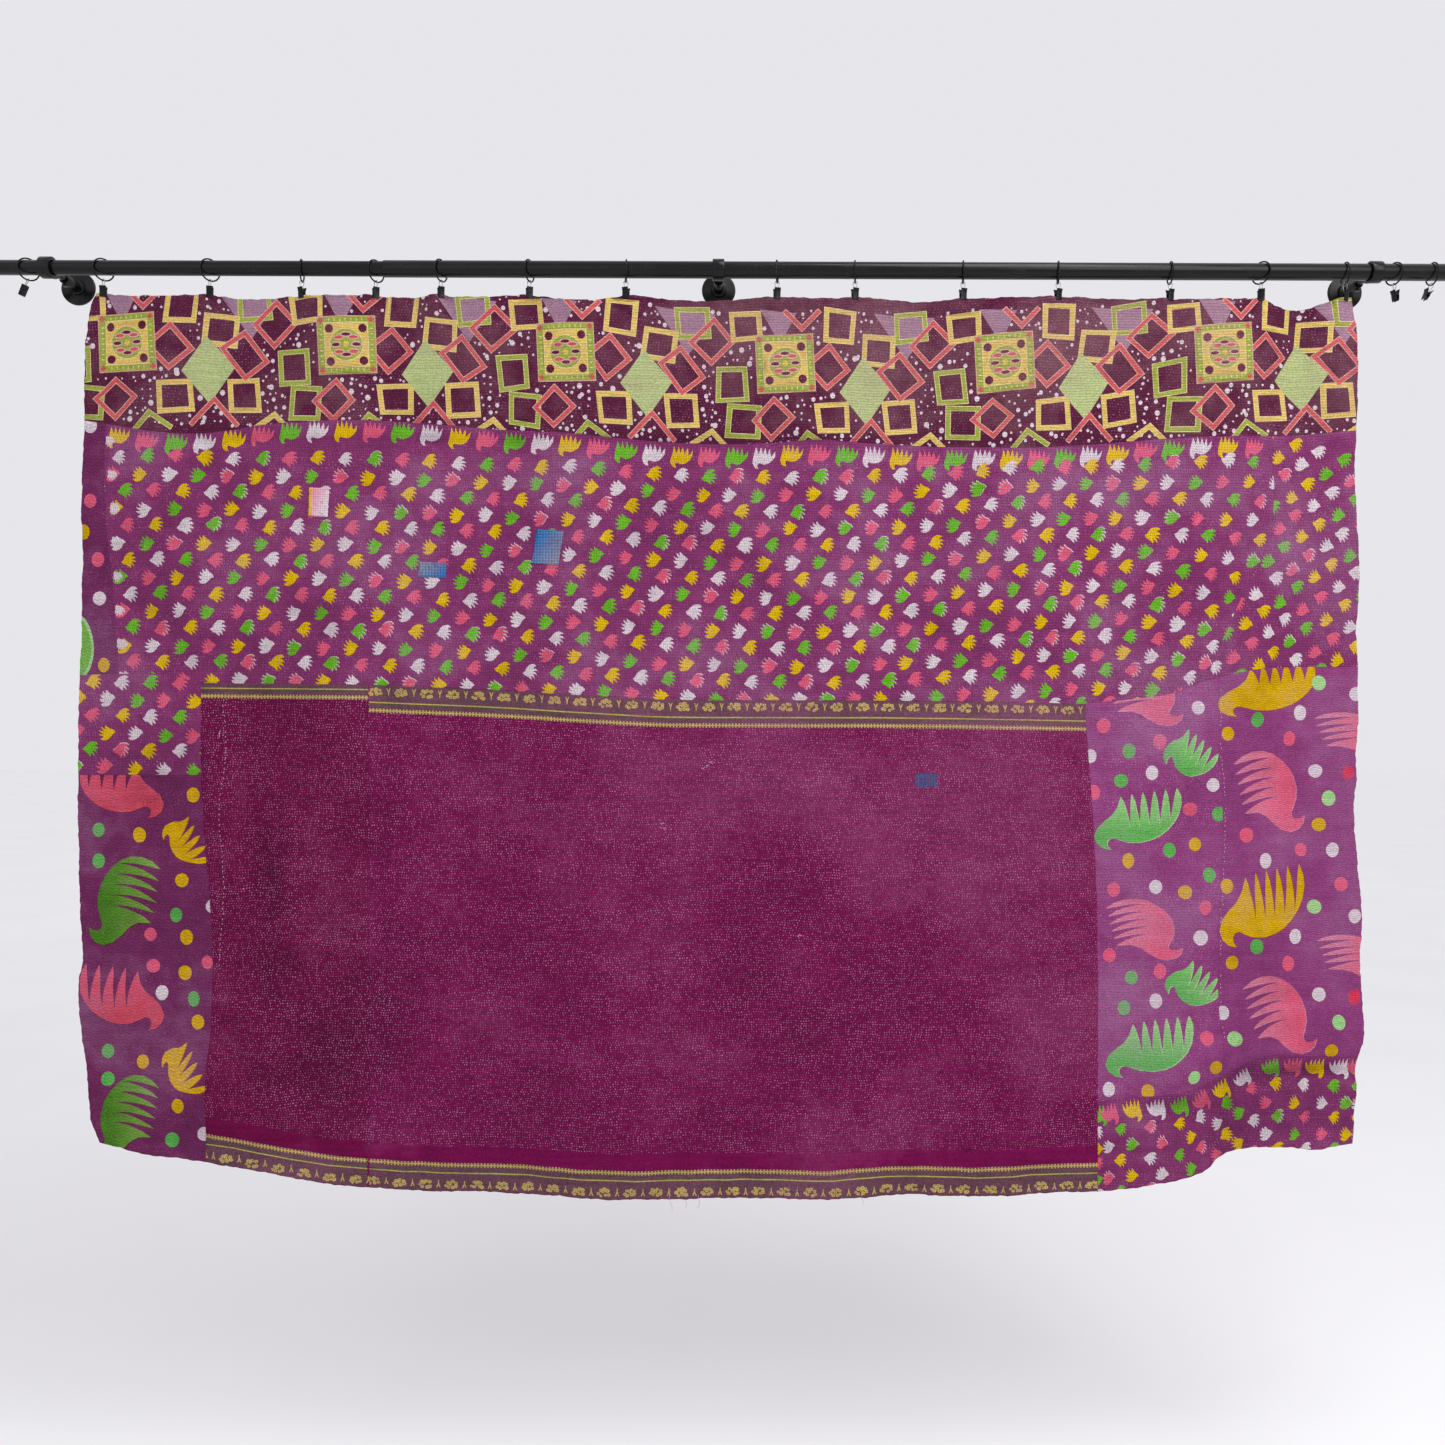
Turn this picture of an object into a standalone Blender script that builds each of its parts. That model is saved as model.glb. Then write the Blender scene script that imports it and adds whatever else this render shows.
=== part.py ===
"""Kantha quilt hung by ring clips from a black wall rail, in metres, +Z up.

+X runs along the rail to the right, +Y points into the wall and the wall is the
plane y = 0. The origin is the centre of the middle flange's back face, level with
the rail's centreline. The quilt is a patchwork of eleven pieces that hang side by
side, each as thick as the whole quilt, with the quilt's own outline and folds.
Tables are in millimetres, forward meaning away from the wall.
"""

import bisect
import math
from collections import namedtuple

import bmesh
import bpy
from mathutils import Matrix, Vector
from mathutils.bvhtree import BVHTree
from mathutils.geometry import delaunay_2d_cdt

MM = 0.001
GAP = 0.0003

# Rail: a narrow tube slides into a wide one at the step.
RAIL_STANDOFF = 0.100
RAIL_END = 1.350
TUBE_WALL = 0.0010
TUBE_OUTER_DIAMETER = 0.028
TUBE_INNER_DIAMETER = 0.025
TUBE_STEP_X = -0.568
TUBE_LAP = 0.120
TUBE_SIDES = 24
CAP_LENGTH = 0.004
CAP_PLUG_LENGTH = 0.012

# Brackets: flange on the wall, stem to the rail, collar round it.
Bracket = namedtuple("Bracket", "name x tube_diameter")
BRACKETS = (
    Bracket("left", -1.1400, TUBE_INNER_DIAMETER),
    Bracket("middle", 0.0, TUBE_OUTER_DIAMETER),
    Bracket("right", 1.1147, TUBE_OUTER_DIAMETER),
)
FLANGE_DIAMETER = 0.060
FLANGE_THICKNESS = 0.005
HUB_DIAMETER = 0.028
HUB_HEIGHT = 0.007
STEM_DIAMETER = 0.017
STEM_SIDES = 18
STEM_END_FROM_WALL = 0.050
ROD_DIAMETER = 0.010
NECK_DIAMETER = 0.022
NECK_END_FROM_WALL = 0.075
NECK_SHORT_OF_BORE = 0.0015
COLLAR_DIAMETER = 0.036
COLLAR_WIDTH = 0.020
COLLAR_EDGE = 0.001
SCREW_DIAMETER = 0.009
SCREW_LENGTH = 0.0075
SCREW_FROM_WALL = 0.044
SCREW_SIDES = 10

# Rings and clips.
RING_RADIUS = 0.0182
RING_WIRE = 0.0013
RING_STEPS = 20
RING_SIDES = 5
EYE_WIRE = 0.0006
EYE_HALF_WIDTH = 0.0036
EYE_HEIGHT = 0.0120
EYE_FOOT_HALF_WIDTH = 0.0012
EYE_FOOT_DEPTH = 0.0078
EYE_ARC_STEPS = 6
EYE_SIDES = 4
CLIP_WIDTH = 0.011
CLIP_LENGTH = 0.0187
CLIP_WEB_TOP = 0.0060
CLIP_WEB_FOOT = 0.0095
CLIP_TOP_HALF = 0.0055
CLIP_PLATE = 0.0014

# Quilt.
THICKNESS = 0.0024
SEAM_GAP = 0.0004
MESH_PITCH = 0.056
FOLD_SHARE = 0.30
EDGE_PITCH = 0.050
HEM_PITCH = 0.036
HEM_EASE = 0.060
SWELL_FADE = 0.100
TURN_WIDTH = 0.019
TURN_FADE = 0.045
GRIP_HALF = 0.0075
GRIP_DEPTH = 0.011
PATCH_THICKNESS = 0.0010
PATCH_PITCH = 0.009

# One row a clip, left to right: where it holds the hem, how far its ring and itself
# are turned about the vertical in degrees, and what the hem does after it: its sag,
# where the sag is lowest (0 to 1), and how far the cloth swells forward there.
Clip = namedtuple("Clip", "x hem ring_turn turn sag sag_at swell")
CLIPS = (
    Clip(-1045.4, -43.0, -36, 14, 6.0, 0.45, 7),
    Clip(-864.3, -43.5, -36, 16, 6.5, 0.40, -6),
    Clip(-707.9, -45.6, 8, -24, 1.0, 0.50, 5),
    Clip(-582.1, -45.0, -30, 26, 4.0, 0.50, -5),
    Clip(-471.6, -42.0, -22, 24, 6.5, 0.40, 7),
    Clip(-321.2, -43.0, -17, 22, 12.5, 0.55, 10),
    Clip(-157.1, -41.6, 8, -20, 7.0, 0.45, -8),
    Clip(99.6, -44.7, -8, 16, 4.5, 0.58, 6),
    Clip(232.2, -44.7, -8, 20, 6.5, 0.65, -6),
    Clip(415.8, -45.4, -8, 18, 3.0, 0.40, 7),
    Clip(577.3, -42.4, -10, 24, 1.5, 0.60, -5),
    Clip(767.7, -45.4, -4, 22, 3.0, 0.45, 6),
    Clip(922.4, -43.9, 29, -16, 17.0, 0.43, -9),
    Clip(1065.2, -41.6, -4, 30, 0.0, 0.50, 0),
)
# Rings that carry nothing: their clips hang free, leaning sideways by the last value.
FreeClip = namedtuple("FreeClip", "x ring_turn turn lean")
FREE_CLIPS = (
    FreeClip(-1172.9, -36, 28, 22),
    FreeClip(1148.5, 18, -78, -5),
    FreeClip(1213.1, 2, -82, 26),
)

# Outer edges and seams, each from one meeting point to the next: (x, z).
LINES = {
    "left_edge_band": ((-1055, -43), (-1064, -62), (-1072, -104), (-1076, -156), (-1076, -260)),
    "left_edge_strip": ((-1076, -260), (-1079, -325), (-1081, -440), (-1078, -487), (-1080, -545),
                        (-1079, -615), (-1084, -692)),
    "left_edge_leaf": ((-1084, -692), (-1085, -768), (-1085, -862)),
    "left_edge_border": ((-1085, -862), (-1084, -1010), (-1081, -1090), (-1077, -1175),
                         (-1083, -1215), (-1081, -1280), (-1077, -1309), (-1067, -1376),
                         (-1054, -1448), (-1040, -1482)),
    "right_edge_band": ((1079, -41), (1085, -98), (1087, -225), (1085, -269)),
    "right_edge_leaf": ((1085, -269), (1083, -334), (1085, -388), (1090, -467), (1091, -530),
                        (1086, -608), (1089, -671)),
    "right_edge_outer": ((1089, -671), (1090, -763), (1086, -817), (1088, -858), (1083, -914),
                         (1089, -992), (1097, -1108), (1095, -1179), (1099, -1252), (1091, -1332)),
    "right_edge_foot": ((1091, -1332), (1088, -1393), (1083, -1481)),
    "band_seam_left": ((-1076, -260), (-1040, -265)),
    "band_seam_middle": ((-1040, -265), (-962, -278), (-844, -278), (-787, -266), (-690, -260),
                         (-533, -260), (-384, -271), (-266, -279), (-112, -291), (72, -294),
                         (155, -290), (273, -294), (390, -299), (506, -302), (623, -295),
                         (700, -288), (817, -282), (942, -279)),
    "band_seam_right": ((942, -279), (1085, -269)),
    "strip_seam": ((-1040, -265), (-1042, -360), (-1036, -462), (-1026, -564), (-1016, -690)),
    "leaf_seam_left": ((-1084, -692), (-1016, -690)),
    "leaf_seam_middle": ((-1016, -690), (-947, -690), (-877, -705)),
    "field_head_left": ((-877, -705), (-592, -707)),
    "field_head_right": ((-592, -707), (-539, -709), (-382, -715), (-226, -724), (-110, -730),
                         (73, -731), (311, -731), (626, -735)),
    "inner_head": ((626, -735), (721, -725), (768, -718), (794, -710), (831, -695)),
    "inner_head_right": ((831, -695), (852, -690)),
    "outer_head": ((852, -690), (891, -680), (991, -671), (1089, -671)),
    "right_leaf_seam": ((942, -279), (946, -387), (937, -457), (889, -558), (858, -626),
                        (831, -695)),
    "inner_outer_seam": ((852, -690), (850, -762), (858, -974), (853, -1067), (850, -1170),
                         (861, -1365)),
    "field_right_side": ((626, -735), (638, -900), (647, -1056), (650, -1263), (650, -1413)),
    "foot_left_side": ((650, -1413), (651, -1565)),
    "foot_head_left": ((650, -1413), (694, -1406), (752, -1401), (808, -1391), (861, -1365)),
    "foot_head_right": ((861, -1365), (880, -1354), (909, -1338), (943, -1329), (997, -1332),
                        (1091, -1332)),
    "border_head": ((-1085, -862), (-876, -861)),
    "field_left_side_upper": ((-877, -705), (-876, -861)),
    "field_left_side": ((-876, -861), (-868, -992), (-855, -1134), (-855, -1230), (-865, -1374),
                        (-864, -1518)),
    "field_join": ((-592, -707), (-589, -1140), (-587, -1560)),
    "bottom_border": ((-1040, -1482), (-1009, -1491), (-988, -1500), (-956, -1509), (-905, -1515),
                      (-864, -1518)),
    "bottom_field_left": ((-864, -1518), (-781, -1531), (-710, -1546), (-638, -1556),
                          (-587, -1560)),
    "bottom_field_right": ((-587, -1560), (-536, -1565), (-281, -1573), (-128, -1579), (229, -1575),
                           (484, -1570), (586, -1564), (651, -1565)),
    "bottom_foot": ((651, -1565), (712, -1559), (753, -1551), (809, -1537), (840, -1523),
                    (859, -1505), (878, -1494), (909, -1488), (963, -1486), (1029, -1492),
                    (1060, -1485), (1083, -1481)),
}
TOP_LEFT = (-1055, -43)
TOP_RIGHT = (1079, -41)

# Each piece's outline, clockwise in the photo; a minus sign runs the line backwards.
PANELS = {
    "panel_top_band": "top_edge right_edge_band -band_seam_right -band_seam_middle -band_seam_left "
                      "-left_edge_band",
    "panel_left_strip": "band_seam_left strip_seam -leaf_seam_left -left_edge_strip",
    "panel_leaf": "band_seam_middle right_leaf_seam -inner_head -field_head_right "
                  "-field_head_left -leaf_seam_middle -strip_seam",
    "panel_right_leaf": "band_seam_right right_edge_leaf -outer_head -inner_head_right "
                        "-right_leaf_seam",
    "panel_left_leaf": "leaf_seam_left leaf_seam_middle field_left_side_upper -border_head "
                       "-left_edge_leaf",
    "panel_left_border": "border_head field_left_side -bottom_border -left_edge_border",
    "panel_field_left": "field_head_left field_join -bottom_field_left -field_left_side "
                        "-field_left_side_upper",
    "panel_field_right": "field_head_right field_right_side foot_left_side -bottom_field_right "
                         "-field_join",
    "panel_right_inner": "inner_head inner_head_right inner_outer_seam -foot_head_left "
                         "-field_right_side",
    "panel_right_outer": "outer_head right_edge_outer -foot_head_right -inner_outer_seam",
    "panel_foot_strip": "foot_head_left foot_head_right right_edge_foot -bottom_foot "
                        "-foot_left_side",
}
PANEL_FINISH = {
    "panel_top_band": "maroon_print",
    "panel_field_left": "plum_field",
    "panel_field_right": "plum_field",
}

# Soft waves that run down the cloth from between the clips.
Wave = namedtuple("Wave", "x_head x_foot half_width forward_head forward_foot")
WAVES = (
    Wave(-957, -960, 75, 7, -6),
    Wave(-790, -800, 70, -6, 8),
    Wave(-640, -625, 60, 6, 4),
    Wave(-400, -400, 90, -6, -8),
    Wave(-230, -190, 95, 9, 9),
    Wave(-20, -10, 110, -7, -6),
    Wave(160, 190, 80, 6, 8),
    Wave(320, 330, 80, -5, -8),
    Wave(500, 520, 75, 7, 7),
    Wave(670, 690, 70, -6, -4),
    Wave(845, 840, 70, 7, 4),
    Wave(1000, 985, 60, -8, -5),
)
# Troughs (below zero) and ridges (above zero) that lie across the cloth.
Fold = namedtuple("Fold", "name x0 z0 x1 z1 half_width forward")
FOLDS = (
    Fold("field trough, upper", -825, -822, -786, -993, 28, -6),
    Fold("field trough, lower", -786, -993, -737, -1184, 26, -9),
    Fold("field trough, foot", -737, -1184, -600, -1222, 24, -7),
    Fold("field ridge", -831, -905, -801, -1126, 32, 5),
    Fold("corner trough", -836, -1299, -775, -1397, 28, -7),
    Fold("corner ridge", -772, -1311, -707, -1430, 36, 5),
    Fold("slanting trough", 905, -480, 838, -700, 30, -6),
    Fold("slanting ridge", 975, -500, 900, -690, 44, 5),
    Fold("foot ridge, left", 770, -1360, 905, -1305, 34, 8),
    Fold("foot ridge, right", 905, -1305, 1090, -1300, 34, 11),
    Fold("foot trough", 860, -1392, 1090, -1352, 20, -8),
    Fold("foot lift", 832, -1400, 850, -1500, 38, -8),
    Fold("foot swell", 955, -1390, 958, -1480, 40, 9),
    Fold("left corner flare", -1040, -1480, -950, -1400, 70, 14),
    Fold("hem trough, right", 987, -66, 962, -200, 30, -10),
    Fold("hem ridge, right", 1030, -90, 1042, -210, 26, 6),
)
Patch = namedtuple("Patch", "name x z width height finish")
PATCHES = (
    Patch("patch_blue", -288, -473, 51, 60, "patch_blue"),
    Patch("patch_blue_small", -485, -511, 46, 26, "patch_blue"),
    Patch("patch_pale", -676, -398, 34, 48, "patch_pale"),
)

Finish = namedtuple("Finish", "red green blue metallic roughness")
FINISHES = {
    "black_metal": Finish(0.012, 0.012, 0.013, 0.6, 0.45),
    "maroon_print": Finish(0.090, 0.012, 0.045, 0.0, 0.90),
    "plum_print": Finish(0.190, 0.022, 0.140, 0.0, 0.90),
    "plum_field": Finish(0.180, 0.012, 0.090, 0.0, 0.90),
    "patch_blue": Finish(0.060, 0.210, 0.480, 0.0, 0.90),
    "patch_pale": Finish(0.550, 0.300, 0.300, 0.0, 0.90),
}


def material(name):
    """The Principled material of this name, made on first use."""
    if name in bpy.data.materials:
        return bpy.data.materials[name]
    finish = FINISHES[name]
    made = bpy.data.materials.new(name)
    made.use_nodes = True
    shader = made.node_tree.nodes["Principled BSDF"]
    shader.inputs["Base Color"].default_value = (finish.red, finish.green, finish.blue, 1.0)
    shader.inputs["Metallic"].default_value = finish.metallic
    shader.inputs["Roughness"].default_value = finish.roughness
    return made


def add_object(name, mesh, finish, smooth_angle=None):
    """Link a mesh to the scene as one named object with its material."""
    if smooth_angle:
        mesh.shade_smooth()
        mesh.set_sharp_from_angle(angle=math.radians(smooth_angle))
    mesh.materials.clear()
    mesh.materials.append(material(finish))
    made = bpy.data.objects.new(name, mesh)
    bpy.context.scene.collection.objects.link(made)
    return made


def mesh_of(name, points, faces):
    """A mesh from points and faces, its faces turned outwards."""
    mesh = bpy.data.meshes.new(name)
    mesh.from_pydata(points, [], faces)
    shape = bmesh.new()
    shape.from_mesh(mesh)
    bmesh.ops.recalc_face_normals(shape, faces=shape.faces)
    shape.to_mesh(mesh)
    shape.free()
    return mesh


def turned(name, profile, axis_from, axis_to, sides=TUBE_SIDES):
    """A turned solid: the profile's (along, radius) points swept round an axis.

    A profile that starts and ends at radius 0 is solid; one that comes back to its
    first point is a ring.
    """
    start = Vector(axis_from)
    along = (Vector(axis_to) - start).normalized()
    frame = along.to_track_quat("Z", "Y")
    ring_shape = profile[0] == profile[-1]
    rows = profile[:-1] if ring_shape else profile
    points, indices = [], []
    for distance, radius in rows:
        if radius == 0:
            indices.append([len(points)] * sides)
            points.append(start + along * distance)
            continue
        indices.append(list(range(len(points), len(points) + sides)))
        for step in range(sides):
            angle = 2 * math.pi * step / sides
            offset = Vector((radius * math.cos(angle), radius * math.sin(angle), distance))
            points.append(start + frame @ offset)
    pairs = list(zip(indices, indices[1:]))
    if ring_shape:
        pairs.append((indices[-1], indices[0]))
    faces = []
    for lower, upper in pairs:
        for step in range(sides):
            after = (step + 1) % sides
            corners = [lower[step], lower[after], upper[after], upper[step]]
            faces.append(list(dict.fromkeys(corners)))
    return mesh_of(name, points, faces)


def closed_wire(name, route, radius, sides):
    """A round wire along a closed route of points."""
    count = len(route)
    points, faces = [], []
    normal = (route[1] - route[0]).cross(route[2] - route[1]).normalized()
    for index, point in enumerate(route):
        along = (route[(index + 1) % count] - route[index - 1]).normalized()
        outward = along.cross(normal).normalized()
        for step in range(sides):
            angle = 2 * math.pi * (step + 0.5) / sides
            points.append(point + outward * radius * math.cos(angle)
                          + normal * radius * math.sin(angle))
    for index in range(count):
        after = (index + 1) % count
        for step in range(sides):
            beyond = (step + 1) % sides
            faces.append((index * sides + step, index * sides + beyond,
                          after * sides + beyond, after * sides + step))
    return mesh_of(name, points, faces)


def united(name, first, *others):
    """One mesh from overlapping meshes, joined by a Boolean union."""
    base = bpy.data.objects.new(name, first)
    bpy.context.scene.collection.objects.link(base)
    helpers = []
    for other in others:
        helper = bpy.data.objects.new(name + "_more", other)
        bpy.context.scene.collection.objects.link(helper)
        helpers.append(helper)
        union = base.modifiers.new("Union", "BOOLEAN")
        union.operation = "UNION"
        union.object = helper
    bpy.context.view_layer.update()
    graph = bpy.context.evaluated_depsgraph_get()
    joined = bpy.data.meshes.new_from_object(base.evaluated_get(graph))
    joined.name = name
    for made in [base, *helpers]:
        bpy.data.objects.remove(made)
    return joined


# Cloth


def along_fold(x, z, fold):
    """How much of a fold's height reaches this place, 0 to 1."""
    start = Vector((fold.x0, fold.z0)) * MM
    run = Vector((fold.x1, fold.z1)) * MM - start
    place = Vector((x, z)) - start
    share = min(1.0, max(0.0, place.dot(run) / run.length_squared))
    away = (place - run * share).length
    return math.exp(-((away / (fold.half_width * MM)) ** 2))


def hem_parts(x):
    """The clips on both sides of this place and how far along their gap it is."""
    places = [clip.x * MM for clip in CLIPS]
    index = bisect.bisect_right(places, x) - 1
    if index < 0 or index >= len(CLIPS) - 1:
        return None
    first, second = CLIPS[index], CLIPS[index + 1]
    return first, second, (x - places[index]) / (places[index + 1] - places[index])


def hem_height(x):
    """Height of the quilt's top edge."""
    parts = hem_parts(x)
    if parts is None:
        left = x < 0
        corner = TOP_LEFT if left else TOP_RIGHT
        clip = CLIPS[0] if left else CLIPS[-1]
        share = min(1.0, (x / MM - clip.x) / (corner[0] - clip.x))
        return (clip.hem + (corner[1] - clip.hem) * share) * MM
    first, second, share = parts
    warped = share ** (math.log(0.5) / math.log(first.sag_at))
    level = first.hem + (second.hem - first.hem) * share
    return (level - first.sag * math.sin(math.pi * warped)) * MM


def forward(x, z):
    """How far the middle of the cloth stands forward of the rail's centreline plane."""
    below = max(0.0, hem_height(x) - z)
    drop = min(1.0, below / 1.45)
    waves = 0.0
    for wave in WAVES:
        middle = (wave.x_head + (wave.x_foot - wave.x_head) * drop) * MM
        height = (wave.forward_head + (wave.forward_foot - wave.forward_head) * drop) * MM
        waves += height * math.exp(-(((x - middle) / (wave.half_width * MM)) ** 2))
    total = waves * (1.0 - math.exp(-below / HEM_EASE))
    parts = hem_parts(x)
    if parts:
        first, _, share = parts
        total += first.swell * MM * math.sin(math.pi * share) ** 2 * math.exp(-below / SWELL_FADE)
    for clip in CLIPS:
        aside = x - clip.x * MM
        reach = math.exp(-((aside / TURN_WIDTH) ** 4)) * math.exp(-((below / TURN_FADE) ** 2))
        total -= math.tan(math.radians(clip.turn)) * aside * reach
    for fold in FOLDS:
        total += fold.forward * MM * along_fold(x, z, fold)
    return total


def cloth_point(x, z):
    """A point on the middle surface of the cloth."""
    return Vector((x, -RAIL_STANDOFF - forward(x, z), z))


def cloth_normal(x, z):
    """The direction square to the cloth there, towards the viewer."""
    step = 0.002
    across = cloth_point(x + step, z) - cloth_point(x - step, z)
    upward = cloth_point(x, z + step) - cloth_point(x, z - step)
    return across.cross(upward).normalized()


def spaced(start, end, pitch):
    """Points from start up to but not including end, no further apart than pitch."""
    count = max(1, math.ceil((end - start).length / pitch))
    return [start.lerp(end, step / count) for step in range(count)]


def top_edge():
    """The top edge, with close points at every clip."""
    places = [TOP_LEFT[0] * MM]
    for clip in CLIPS:
        middle = clip.x * MM
        places += [middle - 3 * GRIP_HALF, middle - GRIP_HALF, middle + GRIP_HALF,
                   middle + 3 * GRIP_HALF]
    places.append(TOP_RIGHT[0] * MM)
    inside = [x for x in places if TOP_LEFT[0] * MM <= x <= TOP_RIGHT[0] * MM]
    inside.sort()
    line = []
    for first, second in zip(inside, inside[1:]):
        count = max(1, math.ceil((second - first) / HEM_PITCH))
        line += [first + (second - first) * step / count for step in range(count)]
    line.append(inside[-1])
    return [Vector((x, hem_height(x))) for x in line]


def line_points(name):
    """The named edge or seam as points, backwards where the name has a minus sign."""
    if name.startswith("-"):
        return line_points(name[1:])[::-1]
    if name == "top_edge":
        return top_edge()
    corners = [Vector(corner) * MM for corner in LINES[name]]
    points = []
    for first, second in zip(corners, corners[1:]):
        points += spaced(first, second, EDGE_PITCH)
    return points + [corners[-1]]


def outline_of(panel):
    """The panel's outline as one closed loop of points, without its last point."""
    loop = []
    for name in PANELS[panel].split():
        loop += line_points(name)[:-1]
    return loop


def drawn_in(loop, distance):
    """The clockwise loop moved inwards by distance."""
    moved = []
    for index, point in enumerate(loop):
        before = (point - loop[index - 1]).normalized()
        after = (loop[(index + 1) % len(loop)] - point).normalized()
        inward = Vector((before.y + after.y, -(before.x + after.x))).normalized()
        spread = max(0.4, inward.dot(Vector((before.y, -before.x))))
        moved.append(point + inward * (distance / spread))
    return moved


def is_inside(point, loop):
    """Whether the point lies inside the loop."""
    inside = False
    for first, second in zip(loop, loop[1:] + loop[:1]):
        if (first.y > point.y) != (second.y > point.y):
            crossing = first.x + (point.y - first.y) * (second.x - first.x) / (second.y - first.y)
            inside ^= point.x < crossing
    return inside


def edge_distance(point, loop):
    """Distance from the point to the loop."""
    nearest = math.inf
    for first, second in zip(loop, loop[1:] + loop[:1]):
        run = second - first
        share = min(1.0, max(0.0, (point - first).dot(run) / max(run.length_squared, 1e-12)))
        nearest = min(nearest, (point - first - run * share).length)
    return nearest


def inner_points(loop):
    """Points inside the loop on a grid of triangles, twice as close where a fold lies."""
    left, right = min(p.x for p in loop), max(p.x for p in loop)
    foot, head = min(p.y for p in loop), max(p.y for p in loop)
    pitch = MESH_PITCH / 2
    row_pitch = pitch * math.sqrt(0.75)
    points = []
    for row in range(math.floor(foot / row_pitch), math.ceil(head / row_pitch) + 1):
        for column in range(math.floor(left / pitch) - 1, math.ceil(right / pitch) + 1):
            point = Vector(((column + 0.5 * (row % 2)) * pitch, row * row_pitch))
            coarse = row % 2 == 0 and (column + row // 2) % 2 == 0
            folded = max(along_fold(point.x, point.y, fold) for fold in FOLDS) > FOLD_SHARE
            reach = 0.5 * (pitch if folded else MESH_PITCH)
            if (coarse or folded) and is_inside(point, loop) and edge_distance(point, loop) > reach:
                points.append(point)
    return points


def grip_points():
    """Extra points under the clips, where the cloth is held flat."""
    points = []
    for clip in CLIPS:
        middle = clip.x * MM
        foot = clip.hem * MM - GRIP_DEPTH
        for aside in (-GRIP_HALF, GRIP_HALF):
            points.append(Vector((middle + aside, foot)))
            if abs(middle + 3 * aside) < TOP_RIGHT[0] * MM - 0.01:
                points.append(Vector((middle + 3 * aside, foot - GRIP_DEPTH)))
    return points


def sheet_mesh(name, loop, extra=()):
    """A closed cloth solid over the loop: two faces a thickness apart, and its edge."""
    kept = [p for p in inner_points(loop)
            if all((p - other).length > 0.5 * MESH_PITCH for other in extra)]
    flat = list(loop) + kept + list(extra)
    result = delaunay_2d_cdt(flat, [], [list(range(len(loop)))], 1, 1e-7)
    places, triangles = result[0], [list(face) for face in result[2]]
    fronts = [cloth_point(p.x, p.y) + cloth_normal(p.x, p.y) * THICKNESS / 2 for p in places]
    backs = [cloth_point(p.x, p.y) - cloth_normal(p.x, p.y) * THICKNESS / 2 for p in places]
    return closed_sheet(name, fronts, backs, triangles)


def closed_sheet(name, fronts, backs, faces):
    """A closed solid from matching front and back points and the faces between them."""
    count = len(fronts)
    edges = {}
    for face in faces:
        for first, second in zip(face, face[1:] + face[:1]):
            edges[(first, second)] = edges.get((first, second), 0) + 1
    walls = [(first, first + count, second + count, second) for first, second in edges
             if (second, first) not in edges]
    backs_faces = [[index + count for index in reversed(face)] for face in faces]
    return mesh_of(name, fronts + backs, [list(face) for face in faces] + backs_faces + walls)


def build_panels():
    """The eleven pieces of the patchwork."""
    meshes = {}
    for panel in PANELS:
        loop = drawn_in(outline_of(panel), SEAM_GAP / 2)
        extra = grip_points() if panel == "panel_top_band" else ()
        meshes[panel] = sheet_mesh(panel, loop, extra)
        add_object(panel, meshes[panel], PANEL_FINISH.get(panel, "plum_print"))
    return meshes


def build_patches(ground):
    """Patches sewn on the leaf print, laid on its front face."""
    vertices = [vertex.co.copy() for vertex in ground.vertices]
    tree = BVHTree.FromPolygons(vertices, [list(face.vertices) for face in ground.polygons])
    for patch in PATCHES:
        columns = max(2, round(patch.width * MM / PATCH_PITCH))
        rows = max(2, round(patch.height * MM / PATCH_PITCH))
        fronts, backs, faces = [], [], []
        for row in range(rows + 1):
            for column in range(columns + 1):
                x = (patch.x + patch.width * (column / columns - 0.5)) * MM
                z = (patch.z + patch.height * (row / rows - 0.5)) * MM
                place = tree.ray_cast(Vector((x, -1.0, z)), Vector((0, 1, 0)))[0]
                normal = cloth_normal(x, z)
                backs.append(place + normal * 1.4 * GAP)
                fronts.append(place + normal * (1.4 * GAP + PATCH_THICKNESS))
        wide = columns + 1
        for row in range(rows):
            for column in range(columns):
                corner = row * wide + column
                faces.append([corner, corner + 1, corner + wide + 1, corner + wide])
        add_object(patch.name, closed_sheet(patch.name, fronts, backs, faces), patch.finish)


# Rail and brackets


def build_rail():
    """The two tubes of the rail and their end caps."""
    axis_y = -RAIL_STANDOFF
    tubes = (
        ("rail_tube_outer", TUBE_OUTER_DIAMETER / 2, TUBE_STEP_X, RAIL_END),
        ("rail_tube_inner", TUBE_INNER_DIAMETER / 2, -RAIL_END, TUBE_STEP_X + TUBE_LAP),
    )
    for name, radius, left, right in tubes:
        bore = radius - TUBE_WALL
        length = right - left
        profile = [(0, bore), (0, radius), (length, radius), (length, bore), (0, bore)]
        mesh = turned(name, profile, (left, axis_y, 0), (right, axis_y, 0))
        add_object(name, mesh, "black_metal", 40)
    caps = (
        ("rail_cap_left", TUBE_INNER_DIAMETER / 2, -1),
        ("rail_cap_right", TUBE_OUTER_DIAMETER / 2, 1),
    )
    for name, radius, side in caps:
        bore = radius - TUBE_WALL
        profile = [
            (-CAP_PLUG_LENGTH, 0), (-CAP_PLUG_LENGTH, bore - GAP), (GAP, bore - GAP),
            (GAP, radius + 0.001), (CAP_LENGTH - 0.001, radius + 0.001),
            (CAP_LENGTH, radius), (CAP_LENGTH, 0),
        ]
        end = side * RAIL_END
        mesh = turned(name, profile, (end, axis_y, 0), (end + side, axis_y, 0))
        add_object(name, mesh, "black_metal", 40)


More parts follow.
